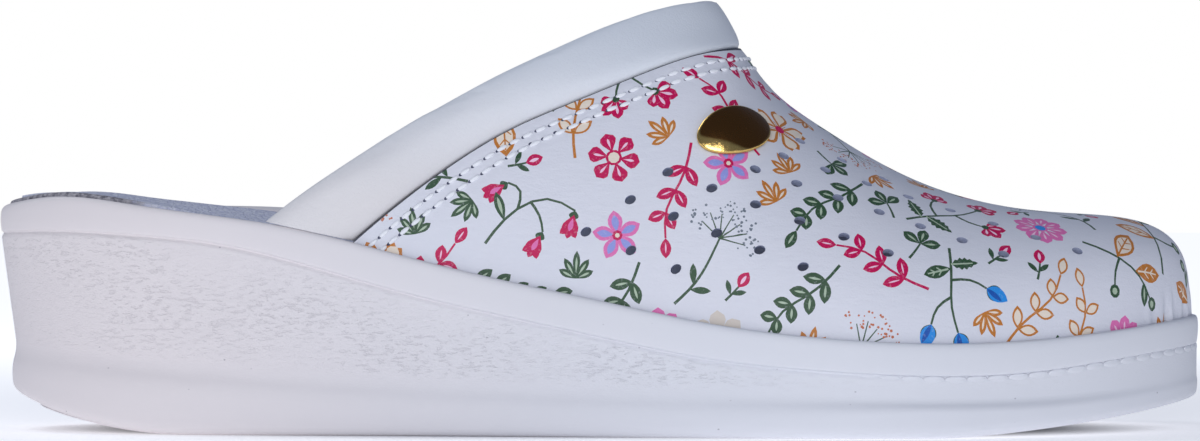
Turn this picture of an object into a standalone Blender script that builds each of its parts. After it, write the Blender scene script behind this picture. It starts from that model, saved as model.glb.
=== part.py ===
"""A wedge-soled house clog for the right foot: a mule with a closed toe and an open heel.

A moulded sole unit with a cupped rim carries an insole. A punched vamp is lasted into the rim,
a padded collar is sewn along the vamp's back edge, and an oval stud sits on its outer side.
The toe points along +X, the outer side of the foot lies at -Y, and the sole stands on z = 0.
Sizes and tables are in millimetres. The meshes are in metres.
"""

import math

import bmesh
import bpy
import numpy as np
from mathutils import Matrix, Vector

MM = 0.001

# Driving sizes
SHOE_LENGTH = 255.0
GAP = 0.3

# Sole: outline at the widest part of the rim, walked from the heel along the outer side and back
# columns: distance from the back of the heel, distance to the inner side (minus is outer)
SOLE_OUTLINE = [
    (0.0, 0.0),  # back of the heel
    (17.0, -25.5),
    (50.0, -33.5),  # heel, outer
    (98.0, -37.0),  # waist, outer
    (150.0, -44.0),
    (184.0, -47.0),  # ball, outer
    (219.0, -39.0),
    (243.0, -22.5),  # little toe
    (255.0, 1.5),  # toe tip
    (247.5, 23.0),  # big toe
    (223.0, 39.0),
    (186.0, 45.0),  # ball, inner
    (142.0, 38.0),
    (98.0, 32.0),  # waist, inner
    (50.0, 31.5),  # heel, inner
    (17.0, 24.5),
]
# Heights of the lines that run along the sole's side
# columns: distance from the back of the heel, top of the rim, foot of the rim, top of the bottom band
SIDE_LINES = [
    (0.0, 47.9, 41.8, 16.6),
    (12.0, 50.0, 42.3, 15.5),
    (25.0, 49.2, 41.9, 14.4),
    (35.0, 47.6, 41.2, 13.5),
    (45.0, 45.9, 40.2, 12.8),
    (60.0, 43.7, 37.2, 11.7),
    (86.0, 37.5, 29.9, 10.1),
    (107.0, 32.4, 25.0, 9.1),
    (128.0, 28.0, 20.5, 8.5),
    (150.0, 23.5, 16.2, 8.1),
    (175.0, 20.5, 13.7, 7.6),
    (200.0, 19.5, 12.7, 7.2),
    (220.0, 20.3, 13.7, 7.6),
    (237.0, 22.0, 16.0, 9.0),
    (255.0, 24.2, 18.2, 11.2),
]
HEEL_BEVEL = 8.0
HEEL_BEVEL_LENGTH = 42.0
TOE_SPRING = 6.7
TOE_SPRING_LENGTH = 58.0
ARCH_LIFT = 3.6
RIB_HEIGHT = 0.5
WALL_DRAFT = 0.10
WALL_STEP = 1.0
BAND_STEP = 1.1
RIM_WIDTH = 1.6
SOLE_STATIONS = 38
FLOOR_STRIPS = 6

# Insole
INSOLE_THICKNESS = 3.0
FLOOR_GAP = 0.7
INSOLE_DROP_HEEL = -0.5
INSOLE_DROP_TOE = 3.5
HEEL_CUP_DEPTH = 3.0

# Upper: wall, lasting margin below the rim, and where the sections start to fan round the toe
VAMP_WALL = 1.8
LASTING_MARGIN = 5.0
LAST_START = 42.0
TOE_PIVOT = 219.0
TOE_FAN_BLEND = 20.0
RIDGE_SHIFT = 3.0
VAMP_STATIONS = 26
HALF_ARCS = 15
# columns: distance from the back of the heel, height of the instep ridge
INSTEP = [
    (42.0, 88.0),
    (85.0, 94.0),
    (120.0, 97.0),
    (140.0, 95.8),
    (150.5, 90.8),
    (157.7, 80.9),
    (164.7, 72.0),
    (175.4, 63.6),
    (186.0, 57.0),
    (196.6, 51.9),
    (207.3, 48.6),
    (223.0, 46.1),
    (240.0, 45.8),
    (255.0, 46.2),
]
# columns: distance from the back of the heel, fullness of the section (2 is an ellipse, more is boxier)
FULLNESS = [
    (42.0, 2.0),
    (128.0, 1.9),
    (168.0, 2.1),
    (208.0, 2.6),
    (232.0, 3.1),
    (246.0, 3.55),
    (255.0, 3.9),
]
# Seam between vamp and collar, and the collar's free edge, as seen from the side
# columns: distance from the back of the heel, height
COLLAR_SEAM = [
    (66.0, 30.5),
    (76.9, 40.3),
    (91.0, 51.8),
    (98.8, 57.3),
    (106.8, 62.2),
    (123.3, 69.6),
    (140.1, 76.5),
    (148.6, 79.3),
    (157.7, 80.9),
    (168.0, 82.0),
]
COLLAR_EDGE = [
    (50.0, 37.0),
    (58.0, 43.9),
    (65.8, 50.0),
    (76.0, 57.1),
    (86.2, 63.8),
    (96.5, 69.9),
    (106.7, 75.4),
    (117.1, 80.3),
    (127.5, 84.9),
    (138.1, 88.5),
    (146.0, 90.3),
    (156.0, 91.8),
]
# Collar's section, walked once round it: it starts flat at the seam and is full at its free edge
# columns: share of the way from the seam to the free edge, height above the vamp's outer face
COLLAR_SECTION = [
    (0.00, -1.3),
    (0.04, -0.4),
    (0.16, 0.8),
    (0.36, 1.6),
    (0.60, 1.8),
    (0.82, 1.2),
    (0.97, -0.2),
    (1.03, -2.0),
    (0.97, -3.9),
    (0.80, -4.9),
    (0.50, -5.1),
    (0.20, -4.2),
    (0.04, -2.6),
]
COLLAR_WIDTH = 18.0
COLLAR_FLAT_END = 0.75
COLLAR_GAP = 0.4
COLLAR_SIDES = 16

# Vent holes, drilled square to the vamp in rows that fall towards the toe
# The inner side has the same rows, set a little further back and lower
# columns: first hole's distance from the back of the heel, its height, number of holes, step, fall per step
VENT_ROWS = [
    (124.6, 42.2, 3, 9.2, 3.8),
    (133.7, 48.8, 5, 8.8, 3.4),
    (141.4, 54.5, 6, 9.0, 3.3),
    (159.5, 55.1, 7, 8.5, 2.9),
    (165.5, 57.9, 8, 8.7, 2.8),
    (169.2, 61.1, 3, 8.8, 3.9),
]
VENT_INNER_SHIFT = (-6.0, -1.0)
VENT_DIAMETER = 2.4
VENT_SIDES = 8
VENT_DRILL = 9.0

# Oval stud on the outer side of the vamp
STUD_LENGTH = 16.8
STUD_WIDTH = 10.8
STUD_AT = (155.0, 63.0)
STUD_TILT_DEG = 13.0
STUD_SIDES = 20
STUD_SEAT = 0.45
# columns: share of the radius, height above the leather
STUD_PROFILE = [
    (0.20, 0.0),
    (0.55, 0.0),
    (0.90, 0.0),
    (1.00, 0.35),
    (1.00, 0.8),
    (0.95, 1.2),
    (0.87, 1.25),
    (0.81, 1.05),
    (0.55, 1.55),
    (0.25, 1.8),
]


def curve_through(rows, closed=False, samples=900):
    """Points along a cubic spline through the rows, spaced by chord length."""
    points = np.array(rows, float)
    if closed:
        points = np.vstack([points, points[:1]])
    steps = np.linalg.norm(np.diff(points, axis=0), axis=1)
    count = len(points)
    system = np.zeros((count, count))
    load = np.zeros_like(points)
    slopes = np.diff(points, axis=0) / steps[:, None]
    for i in range(1, count - 1):
        system[i, i - 1 : i + 2] = steps[i - 1], 2 * (steps[i - 1] + steps[i]), steps[i]
        load[i] = 6 * (slopes[i] - slopes[i - 1])
    system[0, 0] = 1
    system[-1, -1] = 1
    if closed:
        system[0, -1] = -1
        system[-1, :2] = 2 * (steps[0] + steps[-1]), steps[0]
        system[-1, -2:] = steps[-1], 0
        load[-1] = 6 * (slopes[0] - slopes[-1])
    bends = np.linalg.solve(system, load)
    knots = np.concatenate([[0], np.cumsum(steps)])
    at = np.linspace(0, knots[-1], samples)
    span = np.clip(np.searchsorted(knots, at, side="right") - 1, 0, count - 2)
    step = steps[span][:, None]
    after = (at - knots[span])[:, None]
    before = step - after
    return (
        (bends[span] * before**3 + bends[span + 1] * after**3) / (6 * step)
        + (points[span] / step - bends[span] * step / 6) * before
        + (points[span + 1] / step - bends[span + 1] * step / 6) * after
    )


def line_of(rows, column=1):
    """A smooth function of the distance from the heel, through one column of a table."""
    curve = curve_through([(row[0], row[column]) for row in rows])
    return lambda along: np.interp(along, curve[:, 0], curve[:, 1])


rim_top = line_of(SIDE_LINES, 1)
rim_foot = line_of(SIDE_LINES, 2)
band_top = line_of(SIDE_LINES, 3)
instep = line_of(INSTEP)
fullness = line_of(FULLNESS)
collar_seam = line_of(COLLAR_SEAM)
collar_edge = line_of(COLLAR_EDGE)


def underside(along):
    """Height of the sole's underside: flat, bevelled up at the heel and sprung up at the toe."""
    heel = np.clip((HEEL_BEVEL_LENGTH - along) / HEEL_BEVEL_LENGTH, 0, None)
    toe = np.clip((along - SHOE_LENGTH + TOE_SPRING_LENGTH) / TOE_SPRING_LENGTH, 0, None)
    return HEEL_BEVEL * heel**2 + TOE_SPRING * toe**1.5


def ramp(value, low, high):
    """Smooth step from 0 at low to 1 at high."""
    share = np.clip((value - low) / (high - low), 0, 1)
    return share * share * (3 - 2 * share)


def arch_lift(along, across):
    """How much higher the rim and insole lie on the inner side, along the arch of the foot."""
    return ARCH_LIFT * ramp(along, 25, 72) * (1 - ramp(along, 80, 150)) * ramp(across, -20, 28)


def sole_sides():
    """The sole's outline as two branches, outer and inner, both from heel to toe tip.

    Each branch is a list of rows: distance from the heel, distance to the inner side, outward normal.
    """
    curve = curve_through(SOLE_OUTLINE, closed=True, samples=4001)[:-1]
    curve[:, 0] = (curve[:, 0] - curve[:, 0].min()) * SHOE_LENGTH / np.ptp(curve[:, 0])
    curve[:, 1] -= (curve[:, 1].min() + curve[:, 1].max()) / 2
    heel = int(curve[:, 0].argmin())
    curve = np.roll(curve, -heel, axis=0)
    toe = int(curve[:, 0].argmax())
    tangent = np.roll(curve, -1, axis=0) - np.roll(curve, 1, axis=0)
    tangent /= np.linalg.norm(tangent, axis=1)[:, None]
    normal = np.column_stack([tangent[:, 1], -tangent[:, 0]])
    if normal[0, 0] > 0:
        normal = -normal
    rows = np.column_stack([curve, normal])
    outer = rows[: toe + 1]
    inner = np.vstack([rows[toe:], rows[:1]])[::-1]
    return outer, inner


OUTER_SIDE, INNER_SIDE = sole_sides()


def spaced(branch, shares):
    """Rows of a branch at these shares of its length."""
    lengths = np.concatenate([[0], np.cumsum(np.linalg.norm(np.diff(branch[:, :2], axis=0), axis=1))])
    at = np.asarray(shares) * lengths[-1]
    return np.column_stack([np.interp(at, lengths, branch[:, i]) for i in range(branch.shape[1])])


def sole_ring():
    """The outline as one closed ring: heel, outer side, toe tip, inner side."""
    shares = (1 - np.cos(np.linspace(0, math.pi, SOLE_STATIONS + 1))) / 2
    outer = spaced(OUTER_SIDE, shares)
    inner = spaced(INNER_SIDE, shares)
    return np.vstack([outer, inner[-2:0:-1]])


def ring_at(outset, height, lifted=1):
    """The sole's ring moved outwards by outset and set at a height. Both are functions of the distance.

    lifted is the share of the arch's lift that the ring takes on the inner side.
    """
    ring = sole_ring()
    along = ring[:, 0]
    plan = ring[:, :2] + ring[:, 2:] * np.broadcast_to(outset(along), along.shape)[:, None]
    return np.column_stack([plan, height(along) + lifted * arch_lift(along, ring[:, 1])])


def feather_inset():
    """How far the vamp's outer face lies inside the sole's outline."""
    return RIM_WIDTH + GAP


def insole_inset():
    return feather_inset() + VAMP_WALL + GAP


def insole_drop(along):
    """How far the insole's edge lies below the top of the rim. It stands a little proud at the heel."""
    return INSOLE_DROP_HEEL + (INSOLE_DROP_TOE - INSOLE_DROP_HEEL) * ramp(along, 35, 90)


def heel_cup(along):
    """Depth of the hollow under the heel, in the middle of the insole."""
    return HEEL_CUP_DEPTH * ramp(along, 4, 40) * (1 - ramp(along, 70, 150))


def to_scene(points):
    """Table coordinates to metres, with the origin under the middle of the shoe."""
    points = np.asarray(points, float) - np.array([SHOE_LENGTH / 2, 0, 0])
    return points * MM


def new_material(name, colour, roughness, metallic=0.0):
    material = bpy.data.materials.new(name)
    material.use_nodes = True
    shader = material.node_tree.nodes["Principled BSDF"]
    shader.inputs["Base Color"].default_value = (*colour, 1)
    shader.inputs["Roughness"].default_value = roughness
    shader.inputs["Metallic"].default_value = metallic
    return material


def new_object(name, bm, collection, material=None, smooth_angle=35):
    """Closes the bmesh into an object. Faces turn smoothly up to the angle, in degrees."""
    mesh = bpy.data.meshes.new(name)
    bm.to_mesh(mesh)
    bm.free()
    mesh.shade_smooth()
    mesh.set_sharp_from_angle(angle=math.radians(smooth_angle))
    if material:
        mesh.materials.append(material)
    part = bpy.data.objects.new(name, mesh)
    collection.objects.link(part)
    return part


def add_rings(bm, rings):
    """Lofts closed rings of equal length and returns their vertices."""
    loops = [[bm.verts.new(Vector(p)) for p in to_scene(ring)] for ring in rings]
    for low, high in zip(loops, loops[1:]):
        for i, vert in enumerate(low):
            after = (i + 1) % len(low)
            bm.faces.new((vert, low[after], high[after], high[i]))
    return loops


def add_floor(bm, loop, surface):
    """Closes a ring that runs heel, outer side, toe, inner side with strips across the sole.

    The strips lie on a surface: height by distance from the heel, distance across and share across.
    """
    count = len(loop)
    rows = []
    for station in range(1, count // 2):
        outer = loop[station]
        inner = loop[count - station]
        along = (outer.co.x + inner.co.x) / 2 / MM + SHOE_LENGTH / 2
        row = [outer]
        for strip in range(1, FLOOR_STRIPS):
            share = strip / FLOOR_STRIPS
            point = outer.co.lerp(inner.co, share)
            point.z = float(surface(along, point.y / MM, share)) * MM
            row.append(bm.verts.new(point))
        rows.append(row + [inner])
    for tip, row in ((loop[0], rows[0]), (loop[count // 2], rows[-1])):
        for a, b in zip(row, row[1:]):
            bm.faces.new((tip, a, b))
    for row, after in zip(rows, rows[1:]):
        for strip in range(FLOOR_STRIPS):
            bm.faces.new((row[strip], row[strip + 1], after[strip + 1], after[strip]))


def footbed(height):
    """Surface over a line of heights that rises along the arch and sinks under the heel."""

    def surface(along, across, share):
        return height(along) + arch_lift(along, across) - heel_cup(along) * 4 * share * (1 - share)

    return surface


def make_sole(collection):
    """The moulded unit: bottom band, drafted wall, rounded rim and the recess for the insole."""

    def wall_foot(along):
        return -WALL_STEP - WALL_DRAFT * (rim_foot(along) - band_top(along))

    def band(along):
        return wall_foot(along) + BAND_STEP

    def recess_inset(along):
        """The recess hugs the insole at the heel and leaves a slot for the vamp further on."""
        return insole_inset() - GAP - (insole_inset() - GAP - RIM_WIDTH) * ramp(along, 46, 56)

    def recess_floor(along):
        return rim_top(along) - insole_drop(along) - INSOLE_THICKNESS - FLOOR_GAP

    def rib(along):
        return RIB_HEIGHT * ramp(along, 140, 185)

    def level(outset):
        return lambda along: outset + 0 * along

    # one row per ring, from the underside up and over the rim: outset, height, share of the arch's lift
    profile = [
        (lambda a: band(a) - 2.2, underside, 0),
        (lambda a: band(a) - 0.8, lambda a: underside(a) + 0.5, 0),
        (lambda a: band(a) - 0.2, lambda a: underside(a) + 2.4, 0),
        (band, lambda a: underside(a) + 0.55 * (band_top(a) - underside(a)), 0),
        (lambda a: band(a) - 0.3, lambda a: band_top(a) - 0.9, 0),
        (wall_foot, lambda a: band_top(a) + 0.8, 0),
        (lambda a: rib(a) - WALL_STEP - 0.3, lambda a: rim_foot(a) - 2.2, 0.9),
        (level(-WALL_STEP - 0.3), rim_foot, 1),
        (level(-0.25), lambda a: rim_foot(a) + 1.0, 1),
        (level(0), lambda a: (rim_foot(a) + rim_top(a)) / 2, 1),
        (level(-0.35), lambda a: rim_top(a) - 1.3, 1),
        (level(-1.0), lambda a: rim_top(a) - 0.3, 1),
        (level(-RIM_WIDTH), rim_top, 1),
        (lambda a: -recess_inset(a) - 0.01, lambda a: rim_top(a) - 0.25, 1),
        (lambda a: -recess_inset(a) - 0.01, recess_floor, 1),
    ]
    bm = bmesh.new()
    loops = add_rings(bm, [ring_at(*row) for row in profile])
    add_floor(bm, loops[0], lambda along, across, share: underside(along))
    add_floor(bm, loops[-1], footbed(recess_floor))
    bmesh.ops.recalc_face_normals(bm, faces=bm.faces)
    white = new_material("sole_white", (0.80, 0.80, 0.83), 0.55)
    return new_object("sole_unit", bm, collection, white)


def make_insole(collection):
    """The leather-covered insole, hollowed under the heel, lying in the sole's recess."""

    def edge(along):
        return -insole_inset() + 0 * along

    def top(along):
        return rim_top(along) - insole_drop(along)

    bm = bmesh.new()
    rings = [
        ring_at(edge, lambda a: top(a) - INSOLE_THICKNESS),
        ring_at(edge, lambda a: top(a) - 0.6),
        ring_at(lambda a: edge(a) - 0.6, top),
    ]
    loops = add_rings(bm, rings)
    add_floor(bm, loops[0], footbed(lambda along: top(along) - INSOLE_THICKNESS))
    add_floor(bm, loops[-1], footbed(top))
    bmesh.ops.recalc_face_normals(bm, faces=bm.faces)
    grey = new_material("insole_leather", (0.58, 0.57, 0.60), 0.7)
    return new_object("insole", bm, collection, grey)


def feather_branches():
    """The line where the vamp leaves the rim, outer and inner, from LAST_START to the toe tip."""
    branches = []
    for side in (OUTER_SIDE, INNER_SIDE):
        plan = side[:, :2] - side[:, 2:] * feather_inset()
        branches.append(plan[plan[:, 0] >= LAST_START])
    tip = (branches[0][-1] + branches[1][-1]) / 2
    return [np.vstack([branch[:-1], tip]) for branch in branches]


FEATHER = feather_branches()


def last_point(station, arc):
    """Point on the outer face of the last.

    station runs from 0 at LAST_START to 1 at the toe tip. arc runs from -1 at the outer feather line,
    over 0 on the instep ridge, to 1 at the inner feather line. Sections stand square to the shoe at
    the instep and fan out from a pivot round the toe.
    """
    station, arc = np.broadcast_arrays(np.asarray(station, float), np.asarray(arc, float))
    shape = station.shape
    outer = spaced(FEATHER[0], station.ravel()).reshape(*shape, 2)
    inner = spaced(FEATHER[1], station.ravel()).reshape(*shape, 2)
    reach = (outer[..., 0] + inner[..., 0]) / 2
    short = np.clip(TOE_PIVOT + TOE_FAN_BLEND - reach, 0, None)
    ridge_x = np.where(
        short < 2 * TOE_FAN_BLEND, TOE_PIVOT - short**2 / (4 * TOE_FAN_BLEND), reach
    )
    ridge = np.stack([ridge_x, np.full(shape, RIDGE_SHIFT)], axis=-1)
    foot = np.where((arc < 0)[..., None], outer, inner)
    power = 2 / fullness(foot[..., 0])
    angle = np.abs(arc) * math.pi / 2
    plan = ridge + (foot - ridge) * (np.sin(angle) ** power)[..., None]
    low = rim_top(foot[..., 0]) + arch_lift(foot[..., 0], foot[..., 1])
    rise = instep(plan[..., 0]) - low
    height = low + rise * np.clip(np.cos(angle), 0, 1) ** power
    return np.concatenate([plan, height[..., None]], axis=-1)


def station_on(line, arc):
    """Station where the last, at each arc, crosses a line that is given as seen from the side."""
    arc = np.asarray(arc, float)
    low = np.zeros_like(arc)
    high = np.ones_like(arc)
    for _ in range(40):
        middle = (low + high) / 2
        point = last_point(middle, arc)
        behind = point[..., 2] > line(point[..., 0])
        low = np.where(behind, middle, low)
        high = np.where(behind, high, middle)
    return (low + high) / 2


def last_frame(station, arc):
    """Point on the last with its unit tangent along the shoe, tangent across it, and outward normal."""
    step = 0.002
    point = last_point(station, arc)
    along = last_point(np.minimum(station + step, 1), arc) - last_point(np.maximum(station - step, 0), arc)
    across = last_point(station, np.minimum(arc + step, 1)) - last_point(station, np.maximum(arc - step, -1))
    normal = np.cross(along, across)
    frame = [v / np.linalg.norm(v, axis=-1, keepdims=True) for v in (along, across, normal)]
    return point, *frame


def station_seen_at(along, height, side):
    """Station and arc of the point of the last that is seen from the side at this place."""
    stations, arcs = np.meshgrid(np.linspace(0.02, 0.98, 140), side * np.linspace(0.04, 0.98, 110))
    points = last_point(stations, arcs)
    nearest = ((points[..., 0] - along) ** 2 + (points[..., 2] - height) ** 2).argmin()
    found = np.array([stations.flat[nearest], arcs.flat[nearest]])
    step = 1e-4
    for _ in range(6):
        here = last_point(*found)[[0, 2]]
        by_station = (last_point(found[0] + step, found[1])[[0, 2]] - here) / step
        by_arc = (last_point(found[0], found[1] + step)[[0, 2]] - here) / step
        found = found + np.linalg.solve(np.column_stack([by_station, by_arc]), [along, height] - here)
    return found


def make_vamp(collection, cutters):
    """The lasted leather vamp: a shell open underneath and along the collar, with drilled vents."""
    arcs = np.linspace(-1, 1, 2 * HALF_ARCS + 1)
    seam = station_on(collar_seam, arcs)
    even = np.linspace(0, 1, VAMP_STATIONS + 1)
    advance = (even + np.sin(even * math.pi / 2)) / 2
    stations = seam + (1 - seam) * advance[:, None]
    grid = last_point(stations, np.broadcast_to(arcs, stations.shape))
    margin = np.array([0, 0, -LASTING_MARGIN])
    grid = np.concatenate([grid[:, :1] + margin, grid, grid[:, -1:] + margin], axis=1)

    bm = bmesh.new()
    rows = [[bm.verts.new(Vector(p)) for p in to_scene(row)] for row in grid]
    for row, after in zip(rows, rows[1:]):
        for i in range(len(row) - 1):
            bm.faces.new((row[i], after[i], after[i + 1], row[i + 1]))
    bmesh.ops.remove_doubles(bm, verts=bm.verts, dist=0.02 * MM)
    bmesh.ops.recalc_face_normals(bm, faces=bm.faces)
    top = max(bm.faces, key=lambda face: face.calc_center_median().z)
    if top.normal.z < 0:
        bmesh.ops.reverse_faces(bm, faces=bm.faces)
    leather = new_material("printed_leather", (0.82, 0.83, 0.88), 0.4)
    vamp = new_object("vamp", bm, collection, leather)

    wall = vamp.modifiers.new("wall", "SOLIDIFY")
    wall.thickness = VAMP_WALL * MM
    wall.offset = -1
    wall.use_even_offset = True
    vents = vamp.modifiers.new("vents", "BOOLEAN")
    vents.operation = "DIFFERENCE"
    vents.object = make_vent_drills(cutters)
    return vamp


def vent_places():
    """Station and arc of every vent hole."""
    places = []
    for first, height, count, step, fall in VENT_ROWS:
        for i in range(count):
            for side, (on, up) in ((-1, (0, 0)), (1, VENT_INNER_SHIFT)):
                places.append(station_seen_at(first + on + i * step, height + up - i * fall, side))
    return places


def make_vent_drills(cutters):
    """One straight drill through the vamp's wall at every vent hole."""
    bm = bmesh.new()
    for place in vent_places():
        point, _, _, normal = last_frame(*place)
        turn = Vector(normal).to_track_quat("Z", "Y").to_matrix().to_4x4()
        bmesh.ops.create_cone(
            bm,
            cap_ends=True,
            segments=VENT_SIDES,
            radius1=VENT_DIAMETER / 2 * MM,
            radius2=VENT_DIAMETER / 2 * MM,
            depth=VENT_DRILL * MM,
            matrix=Matrix.Translation(Vector(to_scene(point))) @ turn,
        )
    drills = new_object("vent_drills", bm, cutters)
    drills.hide_render = True
    drills.display_type = "WIRE"
    return drills


def make_collar(collection):
    """The padded roll round the opening, from rim to rim, lying between the seam and its free edge."""
    lift = 0.5
    end = 1 - np.arccos(1 - 0.0001) / math.pi
    arcs = np.clip(np.linspace(-1, 1, 2 * HALF_ARCS + 1), -end, end)
    front = station_on(collar_seam, arcs)
    back = station_on(collar_edge, arcs)
    seam_points, _, _, seam_normals = last_frame(front, arcs)
    edge_points, _, _, edge_normals = last_frame(back, arcs)
    section = [(share * COLLAR_WIDTH, height) for share, height in COLLAR_SECTION]
    section = curve_through(section, closed=True, samples=COLLAR_SIDES + 1)[:-1]
    across = np.clip(section[:, 0] / COLLAR_WIDTH, 0, None)
    crown = np.clip(section[:, 1], 0, None)

    rings = []
    for i in range(len(arcs)):
        depth = section[:, 1] - crown * COLLAR_FLAT_END * ramp(abs(arcs[i]), 0.8, 1.0)
        width = edge_points[i] - seam_points[i]
        start = COLLAR_GAP / np.linalg.norm(width)
        share = start + (1 - start) * across
        normals = seam_normals[i] + (edge_normals[i] - seam_normals[i]) * share[:, None]
        normals /= np.linalg.norm(normals, axis=1)[:, None]
        ring = seam_points[i] + width * share[:, None] + normals * depth[:, None]
        floor = rim_top(ring[:, 0]) + arch_lift(ring[:, 0], ring[:, 1]) + lift
        ring[:, 2] = np.maximum(ring[:, 2], floor)
        rings.append(ring)
    bm = bmesh.new()
    loops = add_rings(bm, rings)
    bm.faces.new(loops[0])
    bm.faces.new(loops[-1])
    bmesh.ops.recalc_face_normals(bm, faces=bm.faces)
    white = new_material("collar_leather", (0.80, 0.81, 0.84), 0.5)
    return new_object("padded_collar", bm, collection, white, smooth_angle=60)


def places_under(spots, place, right, up):
    """Stations and arcs under spots of a flat drawing that is held against the last at a place."""
    centre = last_point(*place)
    plane = np.column_stack([right, up])
    station = np.full(len(spots), place[0])
    arc = np.full(len(spots), place[1])
    step = 1e-4
    for _ in range(8):
        here = last_point(station, arc)
        by_station = (last_point(station + step, arc) - here) / step @ plane
        by_arc = (last_point(station, arc + step) - here) / step @ plane
        short = spots - (here - centre) @ plane
        moves = np.linalg.solve(np.stack([by_station, by_arc], axis=-1), short[..., None])[..., 0]
        station = station + moves[:, 0]
        arc = arc + moves[:, 1]
    return station, arc


def make_stud(collection):
    """The oval metal stud, domed inside a raised rim, bent to lie on the vamp."""
    place = station_seen_at(*STUD_AT, -1)
    step = 1e-3
    point, _, _, normal = last_frame(*place)
    by_station = (last_point(place[0] + step, place[1]) - point) / step
    by_arc = (last_point(place[0], place[1] + step) - point) / step
    basis = np.column_stack([by_station, by_arc])
    tilt = math.radians(STUD_TILT_DEG)
    long_way = basis @ np.linalg.solve(basis[[0, 2]], [math.cos(tilt), math.sin(tilt)])
    long_way /= np.linalg.norm(long_way)
    short_way = np.cross(normal, long_way)
    turn = np.linspace(0, 2 * math.pi, STUD_SIDES, endpoint=False)
    oval = np.column_stack([np.cos(turn) * STUD_LENGTH / 2, np.sin(turn) * STUD_WIDTH / 2])

    rings = []
    for share, height in STUD_PROFILE:
        seat, _, _, normals = last_frame(*places_under(oval * share, place, long_way, short_way))
        rings.append(seat + normals * (STUD_SEAT + height))
    bm = bmesh.new()
    loops = add_rings(bm, rings)
    bm.faces.new(loops[0])
    bm.faces.new(loops[-1])
    bmesh.ops.recalc_face_normals(bm, faces=bm.faces)
    brass = new_material("stud_brass", (0.45, 0.32, 0.12), 0.25, 1.0)
    return new_object("oval_stud", bm, collection, brass)


def main():
    for old in list(bpy.data.objects):
        bpy.data.objects.remove(old)
    clog = bpy.data.collections.new("house_clog")
    cutters = bpy.data.collections.new("cutters")
    for collection in (clog, cutters):
        bpy.context.scene.collection.children.link(collection)
    make_sole(clog)
    make_insole(clog)
    make_vamp(clog, cutters)
    make_collar(clog)
    make_stud(clog)


main()
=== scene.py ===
"""A white wedge-soled house clog for the right foot, with a wildflower print, dressed for a studio picture.

Tables are in millimetres: distance from the back of the heel, distance to the inner side, height.
"""

import math
import random

import bmesh
import bpy
import numpy as np
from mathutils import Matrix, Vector, noise
from mathutils.bvhtree import BVHTree
from mathutils.geometry import delaunay_2d_cdt
from mathutils.kdtree import KDTree


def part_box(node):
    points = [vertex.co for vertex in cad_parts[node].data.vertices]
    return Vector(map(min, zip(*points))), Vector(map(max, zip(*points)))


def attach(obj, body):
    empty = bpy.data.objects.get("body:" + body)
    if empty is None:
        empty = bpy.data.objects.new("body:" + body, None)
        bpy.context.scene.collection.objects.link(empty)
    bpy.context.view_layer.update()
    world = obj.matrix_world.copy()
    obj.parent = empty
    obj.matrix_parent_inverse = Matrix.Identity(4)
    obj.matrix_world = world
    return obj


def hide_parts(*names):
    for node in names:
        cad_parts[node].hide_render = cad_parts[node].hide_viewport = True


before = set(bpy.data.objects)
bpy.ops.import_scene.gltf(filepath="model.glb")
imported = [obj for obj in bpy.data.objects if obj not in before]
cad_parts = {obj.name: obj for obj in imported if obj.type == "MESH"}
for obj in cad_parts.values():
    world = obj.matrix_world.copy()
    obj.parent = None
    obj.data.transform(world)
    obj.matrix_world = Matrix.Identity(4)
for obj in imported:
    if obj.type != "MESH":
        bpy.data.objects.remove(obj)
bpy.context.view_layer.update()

# Sole unit
# One white moulding of foamed polyurethane: a rounded rim, a finely grained wedge wall, a smooth bottom band.
# Everything else sits in or on it. The insole lies in its recess and the vamp is lasted into its rim.
MM = 0.001
heel_end, toe_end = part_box("sole_unit")
SHOE_LENGTH = (toe_end.x - heel_end.x) / MM
# columns: distance from the back of the heel, distance to the inner side (minus is outer)
SOLE_OUTLINE = [
    (0.0, 0.0),
    (17.0, -25.5),
    (50.0, -33.5),
    (98.0, -37.0),
    (150.0, -44.0),
    (184.0, -47.0),
    (219.0, -39.0),
    (243.0, -22.5),
    (255.0, 1.5),
    (247.5, 23.0),
    (223.0, 39.0),
    (186.0, 45.0),
    (142.0, 38.0),
    (98.0, 32.0),
    (50.0, 31.5),
    (17.0, 24.5),
]
# columns: distance from the back of the heel, top of the rim, foot of the rim, top of the bottom band
SIDE_LINES = [
    (0.0, 48.3, 41.8, 16.6),
    (12.0, 50.0, 42.3, 15.5),
    (25.0, 49.2, 41.9, 14.4),
    (35.0, 47.6, 41.2, 13.5),
    (45.0, 45.9, 40.2, 12.8),
    (60.0, 43.7, 37.2, 11.7),
    (86.0, 37.5, 29.9, 10.1),
    (107.0, 32.4, 25.0, 9.1),
    (128.0, 28.0, 20.5, 8.5),
    (150.0, 23.5, 16.2, 8.1),
    (175.0, 20.5, 13.7, 7.6),
    (200.0, 19.5, 12.7, 7.2),
    (220.0, 20.3, 13.7, 7.6),
    (237.0, 22.0, 16.0, 9.0),
    (255.0, 24.2, 18.2, 11.2),
]
HEEL_BEVEL = 8.0
HEEL_BEVEL_LENGTH = 42.0
TOE_SPRING = 6.7
TOE_SPRING_LENGTH = 58.0
ARCH_LIFT = 3.6
WALL_DRAFT = 0.10
WALL_STEP = 1.0
BAND_STEP = 1.1
RIM_WIDTH = 1.6
SLOT = 0.3
VAMP_WALL = 1.8
INSOLE_THICKNESS = 3.0
FLOOR_GAP = 0.7
INSOLE_DROP_HEEL = -0.3
INSOLE_DROP_TOE = 3.5
INSOLE_WIDER_HEEL = 1.9
HEEL_CUP_DEPTH = 3.0
TOE_FLUSH = 0.8
RIM_DROP_HEEL = 0.6
BACK_ROUNDING = (0.2, 0.85)
BAND_SOFT_HEEL = 2.4
BAND_SOFT_TOE = 0.8
BOTTOM_CORNER = 2.6
TREAD_SCALE = 90.0
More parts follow.
